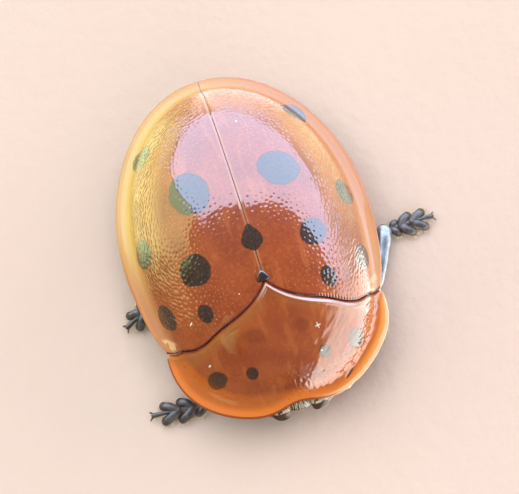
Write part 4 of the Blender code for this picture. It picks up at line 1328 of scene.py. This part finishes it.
def trunk_ring(y, girth, half_limit, keel_half):
    """Upright ring of the trunk: arched under the dome, keeled below."""
    length = REAR_LENGTH if y > CROWN_Y else FRONT_LENGTH
    disc_half = HALF_WIDTH - FLANGE - TRUNK_DEPTH_BELOW_DOME
    disc_length = length - FLANGE - TRUNK_DEPTH_BELOW_DOME
    along = min(abs(y - CROWN_Y) / disc_length, TRUNK_TAPER_LIMIT)
    shrink = math.sqrt(1.0 - along ** 2)
    half = min(disc_half * shrink * girth, half_limit)
    arch = (CROWN_RISE - TRUNK_DEPTH_BELOW_DOME) * shrink * girth
    angles = 2.0 * np.pi * np.arange(TRUNK_SIDES) / TRUNK_SIDES
    x, sine = half * np.cos(angles), np.sin(angles)
    under = np.sqrt(np.maximum(1.0 - (x / (disc_half * shrink)) ** 2, 0.0))
    fade = np.sqrt(np.maximum(1.0 - (x / half) ** 2, 0.0)) ** BELLY_SQUARENESS
    top = RIM_Z + arch * under * np.abs(sine) ** BACK_SQUARENESS
    low = RIM_Z - fold(x, KEEL_Z * girth, 0.0, keel_half) * fade
    return np.stack((x, np.full(TRUNK_SIDES, y), np.where(sine > 0.0, top, low)), -1)


def trunk_skin(first, last, half_limit, keel_half, relief):
    """Closed stretch of the trunk with rounded ends and a relief on its underside."""
    rings = []
    for i in range(TRUNK_RINGS):
        y = first + (last - first) * (i / (TRUNK_RINGS - 1))
        inset = float(ease(min(y - first, last - y) / END_INSET))
        rings.append(trunk_ring(y, END_GIRTH + (1.0 - END_GIRTH) * inset ** 0.6, half_limit, keel_half))
    grid = np.stack(rings)
    below = ease(-np.sin(2.0 * np.pi * np.arange(TRUNK_SIDES) / TRUNK_SIDES), -0.1, 0.1)
    grid[..., 2] += relief(grid[..., 0], grid[..., 1]) * below
    return grid.reshape(-1, 3), grid_faces(TRUNK_RINGS, TRUNK_SIDES, around=True, caps=True)


def add_ball(skin, centre, radii, sides=36, belts=24):
    """Closed ellipsoid."""
    corners = []
    for i in range(1, belts):
        tilt = math.pi * i / belts
        for j in range(sides):
            turn = 2.0 * math.pi * j / sides
            way = (math.sin(tilt) * math.cos(turn), math.sin(tilt) * math.sin(turn), math.cos(tilt))
            corners.append([middle + radius * part for middle, radius, part in zip(centre, radii, way)])
    skin.add(corners, grid_faces(belts - 1, sides, around=True, caps=True))


def fine_pits(x, y, height, pitch, seed):
    """Fine unevenness of the underside."""
    return height * lattice_noise(np.stack((x, y), -1), pitch, seed)


def chest_relief(x, y):
    """Forebody: two folds beside the midline."""
    return fold(np.abs(x), *CHEST_FOLD) + fine_pits(x, y, BREAST_PITS, 0.09, 42)


def breast_relief(x, y):
    """Breast: a midline, and the slanted edges of its plates."""
    slant = np.abs(x)
    edges = fold(y - 0.1 * slant, *BREAST_FRONT_FOLD) + fold(y + 0.12 * slant, *BREAST_REAR_FOLD)
    return fold(x, *BREAST_MIDLINE) + edges + fine_pits(x, y, BREAST_PITS, 0.09, 41)


def belly_relief(x, y):
    """Hind body: a step at each ventrite, and dents near its sides."""
    pitch = (ABDOMEN_Y[1] - ABDOMEN_Y[0]) / VENTRITES
    place = np.mod(y - ABDOMEN_Y[0] + VENTRITE_LEAN * np.abs(x), pitch) / pitch
    step = VENTRITE_STEP * ease(place, 0.16, 0.0) + VENTRITE_LIP * ease(place, 0.9, 1.0)
    dents = fold(np.abs(x), *BELLY_DENT) * fold(place, 1.0, 0.5, 0.3)
    return step + dents + fine_pits(x, y, BELLY_PITS, 0.08, 43)


def make_trunk(cuticle, hair):
    """Forebody, breast and hind body, with hips and short hairs."""
    chance = random.Random(5)
    for name, node, span, limit, keel_half, relief, hips in (
            ("forebody", "prothorax", PROTHORAX_Y, PROTHORAX_HALF, KEEL_HALF, chest_relief,
             ("front_left", "front_right")),
            ("breast", "thorax", THORAX_Y, HALF_WIDTH, KEEL_HALF, breast_relief,
             ("middle_left", "middle_right", "hind_left", "hind_right")),
            ("belly", "abdomen", ABDOMEN_Y, HALF_WIDTH, BELLY_HALF, belly_relief, ())):
        skin, coat = Skin(), Skin()
        corners, faces = trunk_skin(*span, limit, keel_half, relief)
        skin.add(corners, faces)
        for hip in hips:
            add_ball(skin, LEGS[hip][0], HIP_RADII)
        skin.build(name, cuticle, "underside", node)
        low = [point for point in corners if point[2] < RIM_Z - HAIR_DEPTH]
        for _ in range(SKIN_HAIRS):
            root = chance.choice(low)
            way = (chance.uniform(-0.3, 0.3), 1.0, -0.35)
            bristle(coat, root, way, chance.uniform(0.08, 0.16), 0.006, tip=0.6)
        coat.build(name + "_hairs", hair, "underside")


# Head

def head_surface():
    """Head capsule as a grid round its axis, with face, cheeks and brow."""
    tilt = np.linspace(0.02, math.pi - 0.02, HEAD_ROWS)
    turn = 2.0 * np.pi * np.arange(HEAD_COLUMNS) / HEAD_COLUMNS
    turn, tilt = np.meshgrid(turn, tilt)
    way = np.stack((np.sin(tilt) * np.cos(turn), -np.cos(tilt), np.sin(tilt) * np.sin(turn)), -1)
    front = ease(-way[..., 1], 0.1, 0.95)
    low = ease(-way[..., 2], 0.0, 0.9)
    x = way[..., 0] * HEAD_RADII.x * (1.0 - FACE_TAPER * low)
    y = way[..., 1] * HEAD_RADII.y + FACE_SLOPE * low * front
    z = way[..., 2] * HEAD_RADII.z - FACE_DROP * low * ease(-way[..., 1], -0.5, 0.6)
    y = y + fold(x, *FACE_GROOVE) * front * (1.0 - low) - fold(z, *BROW_FOLD) * front
    grid = np.stack((x, y, z), -1)
    return grid + way * 0.006 * lattice_noise(grid, 0.07, 51)[..., None] + np.array(HEAD_CENTRE)


def add_joints(skin, route, girths, sides, rings):
    """Chain of short joints along a route; each has its girth at root, middle and tip."""
    route = [Vector(point) for point in route]
    for near, far, sizes in zip(route, route[1:], girths):
        skin.add(*sweep([near, near.lerp(far, 0.5), far], sizes, sides=sides, rings=rings))


def to_side(side, route):
    """A route of the left side, on the side asked for."""
    return [(side * x, y, z) for x, y, z in route]


def make_head(cuticle, hair):
    """Head capsule with neck, upper lip, jaws and palps, and the flat hairs on its brow."""
    skin, coat = Skin(), Skin()
    points = head_surface().reshape(-1, 3)
    skin.add(points, grid_faces(HEAD_ROWS, HEAD_COLUMNS, around=True, caps=True))
    for route, widths, heights, sides in MIDDLE_PARTS:
        skin.add(*sweep(route, widths, heights, sides))
    for side in (-1.0, 1.0):
        skin.add(*sweep(to_side(side, JAW), JAW_WIDTHS, JAW_HEIGHTS, 18))
        add_joints(skin, to_side(side, PALP), PALP_GIRTHS, 14, 12)
        add_joints(skin, to_side(side, LIP_PALP), LIP_PALP_GIRTHS, 12, 10)
        add_ball(skin, to_side(side, [CHEEK_CENTRE])[0], CHEEK_RADII, 24, 16)
    skin.build("head_capsule", cuticle, "underside", "head")
    chance = random.Random(9)
    for i in range(BROW_HAIRS):
        share = (i + chance.uniform(0.35, 0.65)) / BROW_HAIRS - 0.5
        root = (share * 2.0 * BROW_HALF, BROW_Y, BROW_TOP_Z - BROW_ARCH * share * share)
        way = (share * 0.5 + chance.uniform(-0.15, 0.15), -1.0, -0.1)
        bristle(coat, root, way, chance.uniform(0.3, 0.38), 0.012, (0.0, 0.0, -0.4), 2.2,
                tip=chance.uniform(0.6, 1.0))
    for _ in range(SKIN_HAIRS):
        root = Vector(chance.choice(points))
        if root.y <= FACE_HAIRS_Y:
            way = (root - HEAD_CENTRE).normalized() + Vector((0.0, -0.4, -0.5))
            bristle(coat, root, way, chance.uniform(0.05, 0.1), 0.005, tip=0.7)
    coat.build("brow_hairs", hair, "underside")


def make_eye(side_name, side, material):
    """Bulging eye of small domed facets, pressed flat toward the head."""
    builder = bmesh.new()
    bmesh.ops.create_icosphere(builder, subdivisions=5, radius=1.0)
    domes = set(builder.verts)
    bmesh.ops.poke(builder, faces=list(builder.faces), offset=0.0)
    builder.verts.index_update()
    ways = np.array([vert.co.normalized() for vert in builder.verts])
    facet = np.array([float(vert in domes) for vert in builder.verts])
    faces = [tuple(vert.index for vert in face.verts) for face in builder.faces]
    builder.free()
    centre = np.array((side * EYE_CENTRE.x, EYE_CENTRE.y, EYE_CENTRE.z))
    corners = centre + ways * np.array(EYE_RADII) * np.where(facet > 0.0, 1.0, FACET_RIM)[:, None]
    corners[:, 0] += side * EYE_FLATNESS * np.maximum(EYE_INNER_X - np.abs(corners[:, 0]), 0.0)
    skin = Skin()
    skin.add(corners, faces, facet=facet)
    skin.build("facets_" + side_name, material, "eye", "eye_" + side_name)


def make_antenna(side_name, side, base, club, hair):
    """Feeler of eleven joints: a clear orange stalk, then a dark velvety club."""
    route = [Vector(point) for point in to_side(side, ANTENNA_ROUTE)]
    stalk, tip, coat = Skin(), Skin(), Skin()
    chance = random.Random(21)
    for joint, girth in enumerate(ANTENNA_GIRTHS):
        near, far = ANTENNA_SHARES[joint:joint + 2]
        points = [curve_point(route, near + (far - near) * k / 4.0 * JOINT_FILL) for k in range(5)]
        skin = stalk if joint < STALK_JOINTS else tip
        skin.add(*sweep(points, [girth * size for size in JOINT_PROFILE], rings=20, cap=0.5))
        for _ in range(CLUB_HAIRS if joint >= STALK_JOINTS else 0):
            at = curve_point(points, chance.uniform(0.05, 0.95))
            along = (points[-1] - points[0]).normalized()
            out = spoke(along, chance.uniform(0.0, 2.0 * math.pi))
            bristle(coat, at + out * girth * 0.9, out + along * 1.4, 0.06, 0.004, (0.0, 0.0, 0.0), tip=0.2)
    node = "antenna_" + side_name
    stalk.build("feeler_stalk_" + side_name, base, "antenna", node)
    tip.build("feeler_club_" + side_name, club, "antenna", node)
    coat.build("feeler_down_" + side_name, hair, "antenna")


# Legs

def make_foot(tag, ankle, toe, coat, chance, lobes, pads, claws):
    """Foot on the floor: lobed joints with soles and fringes, a last joint and two claws."""
    heel = Vector((ankle.x, ankle.y, SOLE_CENTRE_Z))
    toe = Vector((*toe, SOLE_CENTRE_Z))
    way = (toe - heel).normalized()
    side = Vector((-way.y, way.x, 0.0))
    total = (toe - heel).length

    def at(along, across, up=0.0):
        return heel + way * (along * total) + side * across + Vector((0.0, 0.0, up))

    foot, sole, grip = Skin(), Skin(), Skin()
    for near, far, spread, girth, bow in LOBES:
        middle = near + (far - near) * LOBE_MIDDLE
        for hand in (-1.0, 1.0):
            aside = hand * spread
            foot.add(*sweep([at(near, 0.0, 0.06), at(middle, aside * bow, 0.05), at(far, aside, -0.02)],
                            (girth, girth * 1.05, girth * 1.05), (0.1, 0.12, 0.1), 22, 18))
            sole.add(*sweep([at(near + 0.02, hand * 0.04, -0.12), at(middle, aside * bow, -0.14),
                             at(far - 0.01, aside * 0.95, -0.141)],
                            (girth * 0.5, girth * 0.85, girth * 0.7), (0.06, 0.079, 0.079), 18, 12))
            for _ in range(LOBE_HAIRS):
                share = chance.uniform(0.35, 1.05)
                angle = chance.uniform(0.0, 2.0 * math.pi)
                centre = at(near + (far - near) * share, aside * share, -0.08)
                out = side * math.cos(angle) + way * math.sin(angle)
                bristle(coat, centre + out * girth * 0.9, out + Vector((0.0, 0.0, -0.2)),
                        chance.uniform(0.09, 0.17), 0.010, tip=1.0)
    foot.add(*sweep([at(*point) for point in STEM], STEM_WIDTHS, STEM_HEIGHTS, 16, 16))
    foot.add(*sweep([at(*point) for point in LAST_JOINT], LAST_JOINT_WIDTHS, None, 18, 20))
    for hand in (-1.0, 1.0):
        claw = [at(along, hand * across, up) for along, across, up in CLAW]
        grip.add(*sweep(claw, CLAW_WIDTHS, None, 14, 18))
    foot.build("foot_" + tag, lobes, "leg", "tarsus_" + tag)
    sole.build("sole_" + tag, pads, "leg", "tarsus_" + tag)
    grip.build("claws_" + tag, claws, "leg", "tarsus_" + tag)


def make_leg(tag, joints, cuticle, lobes, pads, claws, hair):
    """One leg: thigh, shin, foot and the short hairs on shin and foot."""
    hip, knee, ankle = (Vector(point) for point in joints[:3])
    chance = random.Random(tag)
    thigh, shin, coat = Skin(), Skin(), Skin()
    thigh_way, shin_way = (knee - hip).normalized(), (ankle - knee).normalized()
    route = [hip + thigh_way * THIGH_START, *(hip.lerp(knee, share) for share in THIGH_PLACES),
             knee - thigh_way * THIGH_END]
    thigh.add(*sweep(route, THIGH_WIDTHS, THIGH_HEIGHTS, 28, 30))
    thigh.build("thigh_" + tag, cuticle, "leg", "femur_" + tag)

    def keels(share, angle):
        return 1.0 + SHIN_KEEL * math.cos(3.0 * angle) * min(share * 4.0, 1.0)

    start, end = knee + shin_way * SHIN_INSET, ankle - shin_way * SHIN_INSET
    route = [start, *(knee.lerp(ankle, share) for share in SHIN_PLACES), end]
    shin.add(*sweep(route, SHIN_WIDTHS, SHIN_HEIGHTS, 36, 40, 1.15, keels))
    shin.build("shin_" + tag, cuticle, "leg", "tibia_" + tag)
    make_foot(tag, ankle, joints[3], coat, chance, lobes, pads, claws)
    for _ in range(SHIN_HAIRS):
        centre = start.lerp(end, chance.uniform(0.1, 1.0))
        out = spoke(shin_way, chance.uniform(0.0, 2.0 * math.pi))
        bristle(coat, centre + out * 0.18, out * 0.6 + shin_way, chance.uniform(0.08, 0.13), 0.005, tip=0.4)
    coat.build("leg_hairs_" + tag, hair, "leg")


# Stage

def soft_light(name, centre, width, height, strength, tint):
    """Big rectangular light facing the beetle that lights it without showing in its lacquer."""
    data = bpy.data.lights.new(name, "AREA")
    data.shape = "RECTANGLE"
    data.size = width * METRES_PER_MM
    data.size_y = height * METRES_PER_MM
    data.color = tint
    data.energy = strength * math.pi * data.size * data.size_y
    thing = bpy.data.objects.new(name, data)
    back = Vector(centre).normalized()
    side = Vector((-back.y, back.x, 0.0)).normalized()
    turn = Matrix((side, back.cross(side), back)).transposed().to_4x4()
    place = Vector(to_metres(np.array((0.0, CROWN_Y, LIGHT_FOCUS_Z)) + np.array(centre)))
    thing.matrix_world = Matrix.Translation(place) @ turn
    bpy.context.scene.collection.objects.link(thing)
    thing.visible_camera = False
    thing.visible_glossy = False


def make_screen(name, marks, strength, tint, soft):
    """Bright screen standing round the beetle and along the floor, seen only in its lacquer.

    Each mark is an azimuth from straight behind the tail, and the lowest and highest
    elevation there, in degrees. The screen fades over its first degrees, and toward its
    upper border where it is soft.
    """
    azimuths, lows, highs = (np.array(column, float) for column in zip(*marks))
    rows, columns = SCREEN_MESH
    turn = np.linspace(azimuths[0], azimuths[-1], columns)
    lift = np.linspace(0.0, 1.0, rows)[:, None]
    low, high = np.interp(turn, azimuths, lows), np.interp(turn, azimuths, highs)
    glow = ease(turn + 0.0 * lift, azimuths[0], azimuths[0] + SCREEN_FADE)
    if soft > 0.0:
        glow = glow * ease(1.0 - lift, 0.0, soft)
    tilt = np.radians(low + (high - low) * lift)
    turn = np.radians(turn) + 0.0 * tilt
    floor_reach = SCREEN_HEIGHT / np.maximum(np.sin(-tilt), 1e-3)
    reach = np.where(tilt < 0.0, np.minimum(floor_reach, SCREEN_REACH), SCREEN_REACH)
    way = np.stack((np.cos(tilt) * np.sin(turn), np.cos(tilt) * np.cos(turn), np.sin(tilt)), -1)
    points = way * reach[..., None] + np.array((0.0, CROWN_Y, SCREEN_HEIGHT + SCREEN_LIFT))
    paint = Paint(name, 1.0, Specular_IOR_Level=0.0, Emission_Strength=strength)
    black = (0.0, 0.0, 0.0)
    paint.set("Base Color", black)
    paint.set("Emission Color", paint.mix(paint.value("glow"), black, tint))
    mesh = bpy.data.meshes.new(name)
    mesh.from_pydata(to_metres(points.reshape(-1, 3)).tolist(), [], grid_faces(rows, columns))
    layer = mesh.attributes.new("glow", "FLOAT", "POINT")
    layer.data.foreach_set("value", glow.ravel().astype(np.float32))
    mesh.materials.append(paint.material)
    thing = bpy.data.objects.new(name, mesh)
    bpy.context.scene.collection.objects.link(thing)
    thing.visible_camera = False
    thing.visible_diffuse = False
    thing.visible_shadow = False
    thing.visible_transmission = False


def make_camera():
    """Camera at the photograph's viewing angle."""
    elevation, azimuth, roll = (math.radians(value) for value in
                                (CAMERA_ELEVATION, CAMERA_AZIMUTH, CAMERA_ROLL))
    back = Vector((math.cos(elevation) * math.sin(azimuth), -math.cos(elevation) * math.cos(azimuth),
                   math.sin(elevation)))
    right = Vector((math.cos(azimuth), math.sin(azimuth), 0.0))
    up = back.cross(right)
    place = VIEW_TARGET + back * CAMERA_DISTANCE
    aim = VIEW_TARGET + right * VIEW_OFFSET[0] + up * VIEW_OFFSET[1]
    away = (place - aim).normalized()
    across = right * math.cos(roll) - up * math.sin(roll)
    across = (across - away * across.dot(away)).normalized()
    turn = Matrix((across, away.cross(across), away)).transposed().to_4x4()
    data = bpy.data.cameras.new("camera")
    data.sensor_width = SENSOR
    data.lens = PIXELS_PER_MM * CAMERA_DISTANCE / IMAGE_WIDTH * SENSOR
    data.clip_start, data.clip_end = CLIP
    camera = bpy.data.objects.new("camera", data)
    camera.matrix_world = Matrix.Translation(Vector(to_metres(place))) @ turn
    bpy.context.scene.collection.objects.link(camera)
    bpy.context.scene.camera = camera


def make_floor(material):
    """Wide floor, its mesh finer under the beetle."""
    steps = FLOOR_HALF * np.linspace(-1.0, 1.0, FLOOR_STEPS) ** 3
    x, y = np.meshgrid(steps, steps)
    points = to_metres(np.stack((x, y, 0.0 * x), -1).reshape(-1, 3))
    mesh = bpy.data.meshes.new("floor")
    mesh.from_pydata(points.tolist(), [], grid_faces(FLOOR_STEPS, FLOOR_STEPS))
    mesh.materials.append(material)
    floor = bpy.data.objects.new("floor", mesh)
    bpy.context.scene.collection.objects.link(floor)


def make_air(strength):
    """Soft, slightly warm light from all round."""
    world = bpy.context.scene.world or bpy.data.worlds.new("air")
    bpy.context.scene.world = world
    world.use_nodes = True
    ground = world.node_tree.nodes["Background"]
    ground.inputs["Color"].default_value = (*AIR_COLOUR, 1.0)
    ground.inputs["Strength"].default_value = AIR_STRENGTH * strength


# Operators

class BEETLE_OT_wing_cases(bpy.types.Operator):
    """Build both wing cases"""
    bl_idname = "beetle.wing_cases"
    bl_label = "Wing cases"

    def execute(self, context):
        shell = context.scene.beetle_shell
        material = wing_case_paint(shell)
        make_wing_case("case_left", 1.0, shell, material)
        make_wing_case("case_right", -1.0, shell, material)
        return {"FINISHED"}


class BEETLE_OT_shield(bpy.types.Operator):
    """Build the shield over the head and the small shield behind it"""
    bl_idname = "beetle.shield"
    bl_label = "Shields"

    def execute(self, context):
        shell = context.scene.beetle_shell
        make_shield(shield_paint(shell))
        make_scutellum(cuticle_paint("small_shield", shell.spot_colour, shell.spot_worn_colour, 8.0,
                                     polish=0.08))
        return {"FINISHED"}


class BEETLE_OT_trunk(bpy.types.Operator):
    """Build forebody, breast and belly"""
    bl_idname = "beetle.trunk"
    bl_label = "Trunk"

    def execute(self, context):
        body = context.scene.beetle_body
        cuticle = cuticle_paint("underside", body.head_colour, body.head_light_colour, 6.0)
        make_trunk(cuticle, hair_paint("body_hair", body.hair_root_colour, body.hair_colour))
        return {"FINISHED"}


class BEETLE_OT_head(bpy.types.Operator):
    """Build the head with its mouthparts, eyes and antennae"""
    bl_idname = "beetle.head"
    bl_label = "Head"

    def execute(self, context):
        body = context.scene.beetle_body
        cuticle = cuticle_paint("head", body.head_colour, body.head_light_colour, 10.0)
        hair = hair_paint("brow_hair", body.hair_root_colour, body.hair_colour)
        make_head(cuticle, hair)
        facets = eye_paint(body)
        base = cuticle_paint("feeler_base", body.feeler_colour, body.head_light_colour, 9.0)
        club = cuticle_paint("feeler_club", body.leg_colour, body.head_colour, 12.0, 0.6, 0.1)
        for name, side in (("left", 1.0), ("right", -1.0)):
            make_eye(name, side, facets)
            make_antenna(name, side, base, club, hair)
        return {"FINISHED"}


class BEETLE_OT_legs(bpy.types.Operator):
    """Build the six legs"""
    bl_idname = "beetle.legs"
    bl_label = "Legs"

    def execute(self, context):
        body = context.scene.beetle_body
        # the legs' blue-grey haze is a painted sheen
        cuticle = cuticle_paint("leg", body.leg_colour, body.leg_sheen_colour, 8.0, gloss=2.4)
        lobes = cuticle_paint("foot", body.foot_colour, body.foot_haze_colour, 14.0, 0.6, 0.35)
        pads = cuticle_paint("sole", body.pad_colour, body.head_light_colour, 14.0, 0.7, 0.0, 0.01)
        claws = cuticle_paint("claw", body.claw_colour, body.head_light_colour, 12.0, 0.25, 1.0)
        hair = hair_paint("leg_hair", body.hair_root_colour, body.hair_colour)
        for tag, joints in LEGS.items():
            make_leg(tag, joints, cuticle, lobes, pads, claws, hair)
        return {"FINISHED"}


class BEETLE_OT_stage(bpy.types.Operator):
    """Set up floor, light and camera"""
    bl_idname = "beetle.stage"
    bl_label = "Stage"

    def execute(self, context):
        stage = context.scene.beetle_stage
        make_floor(floor_paint(stage))
        make_camera()
        for name, (marks, setting, strength, tint, soft) in SCREENS.items():
            make_screen(name, marks, strength * getattr(stage, setting), tint, soft)
        for name, (centre, width, height, setting, strength, tint) in LIGHTS.items():
            soft_light(name, centre, width, height, strength * getattr(stage, setting), tint)
        make_air(stage.air_strength)
        context.scene.view_settings.view_transform = "Standard"
        return {"FINISHED"}


OPERATORS = (BEETLE_OT_wing_cases, BEETLE_OT_shield, BEETLE_OT_trunk, BEETLE_OT_head, BEETLE_OT_legs,
             BEETLE_OT_stage)


class BEETLE_PT_panel(bpy.types.Panel):
    """Lists the beetle's pieces and settings"""
    bl_idname = "BEETLE_PT_panel"
    bl_label = "Tortoise Beetle"
    bl_space_type = "VIEW_3D"
    bl_region_type = "UI"
    bl_category = "Beetle"

    def draw(self, context):
        for operator in OPERATORS:
            self.layout.operator(operator.bl_idname)
        for group in (context.scene.beetle_shell, context.scene.beetle_body, context.scene.beetle_stage):
            box = self.layout.box()
            for name in group.__annotations__:
                box.prop(group, name)


CLASSES = (BeetleShellSettings, BeetleBodySettings, BeetleStageSettings, *OPERATORS, BEETLE_PT_panel)


def register():
    """Make the classes known, and keep the settings with the scene."""
    for item in CLASSES:
        bpy.utils.register_class(item)
    bpy.types.Scene.beetle_shell = PointerProperty(type=BeetleShellSettings)
    bpy.types.Scene.beetle_body = PointerProperty(type=BeetleBodySettings)
    bpy.types.Scene.beetle_stage = PointerProperty(type=BeetleStageSettings)


def unregister():
    """Take settings and classes away again."""
    del bpy.types.Scene.beetle_stage
    del bpy.types.Scene.beetle_body
    del bpy.types.Scene.beetle_shell
    for item in reversed(CLASSES):
        bpy.utils.unregister_class(item)


def main():
    """Build everything."""
    register()
    bpy.ops.beetle.wing_cases()
    bpy.ops.beetle.shield()
    bpy.ops.beetle.trunk()
    bpy.ops.beetle.head()
    bpy.ops.beetle.legs()
    bpy.ops.beetle.stage()


if __name__ == "__main__":
    main()
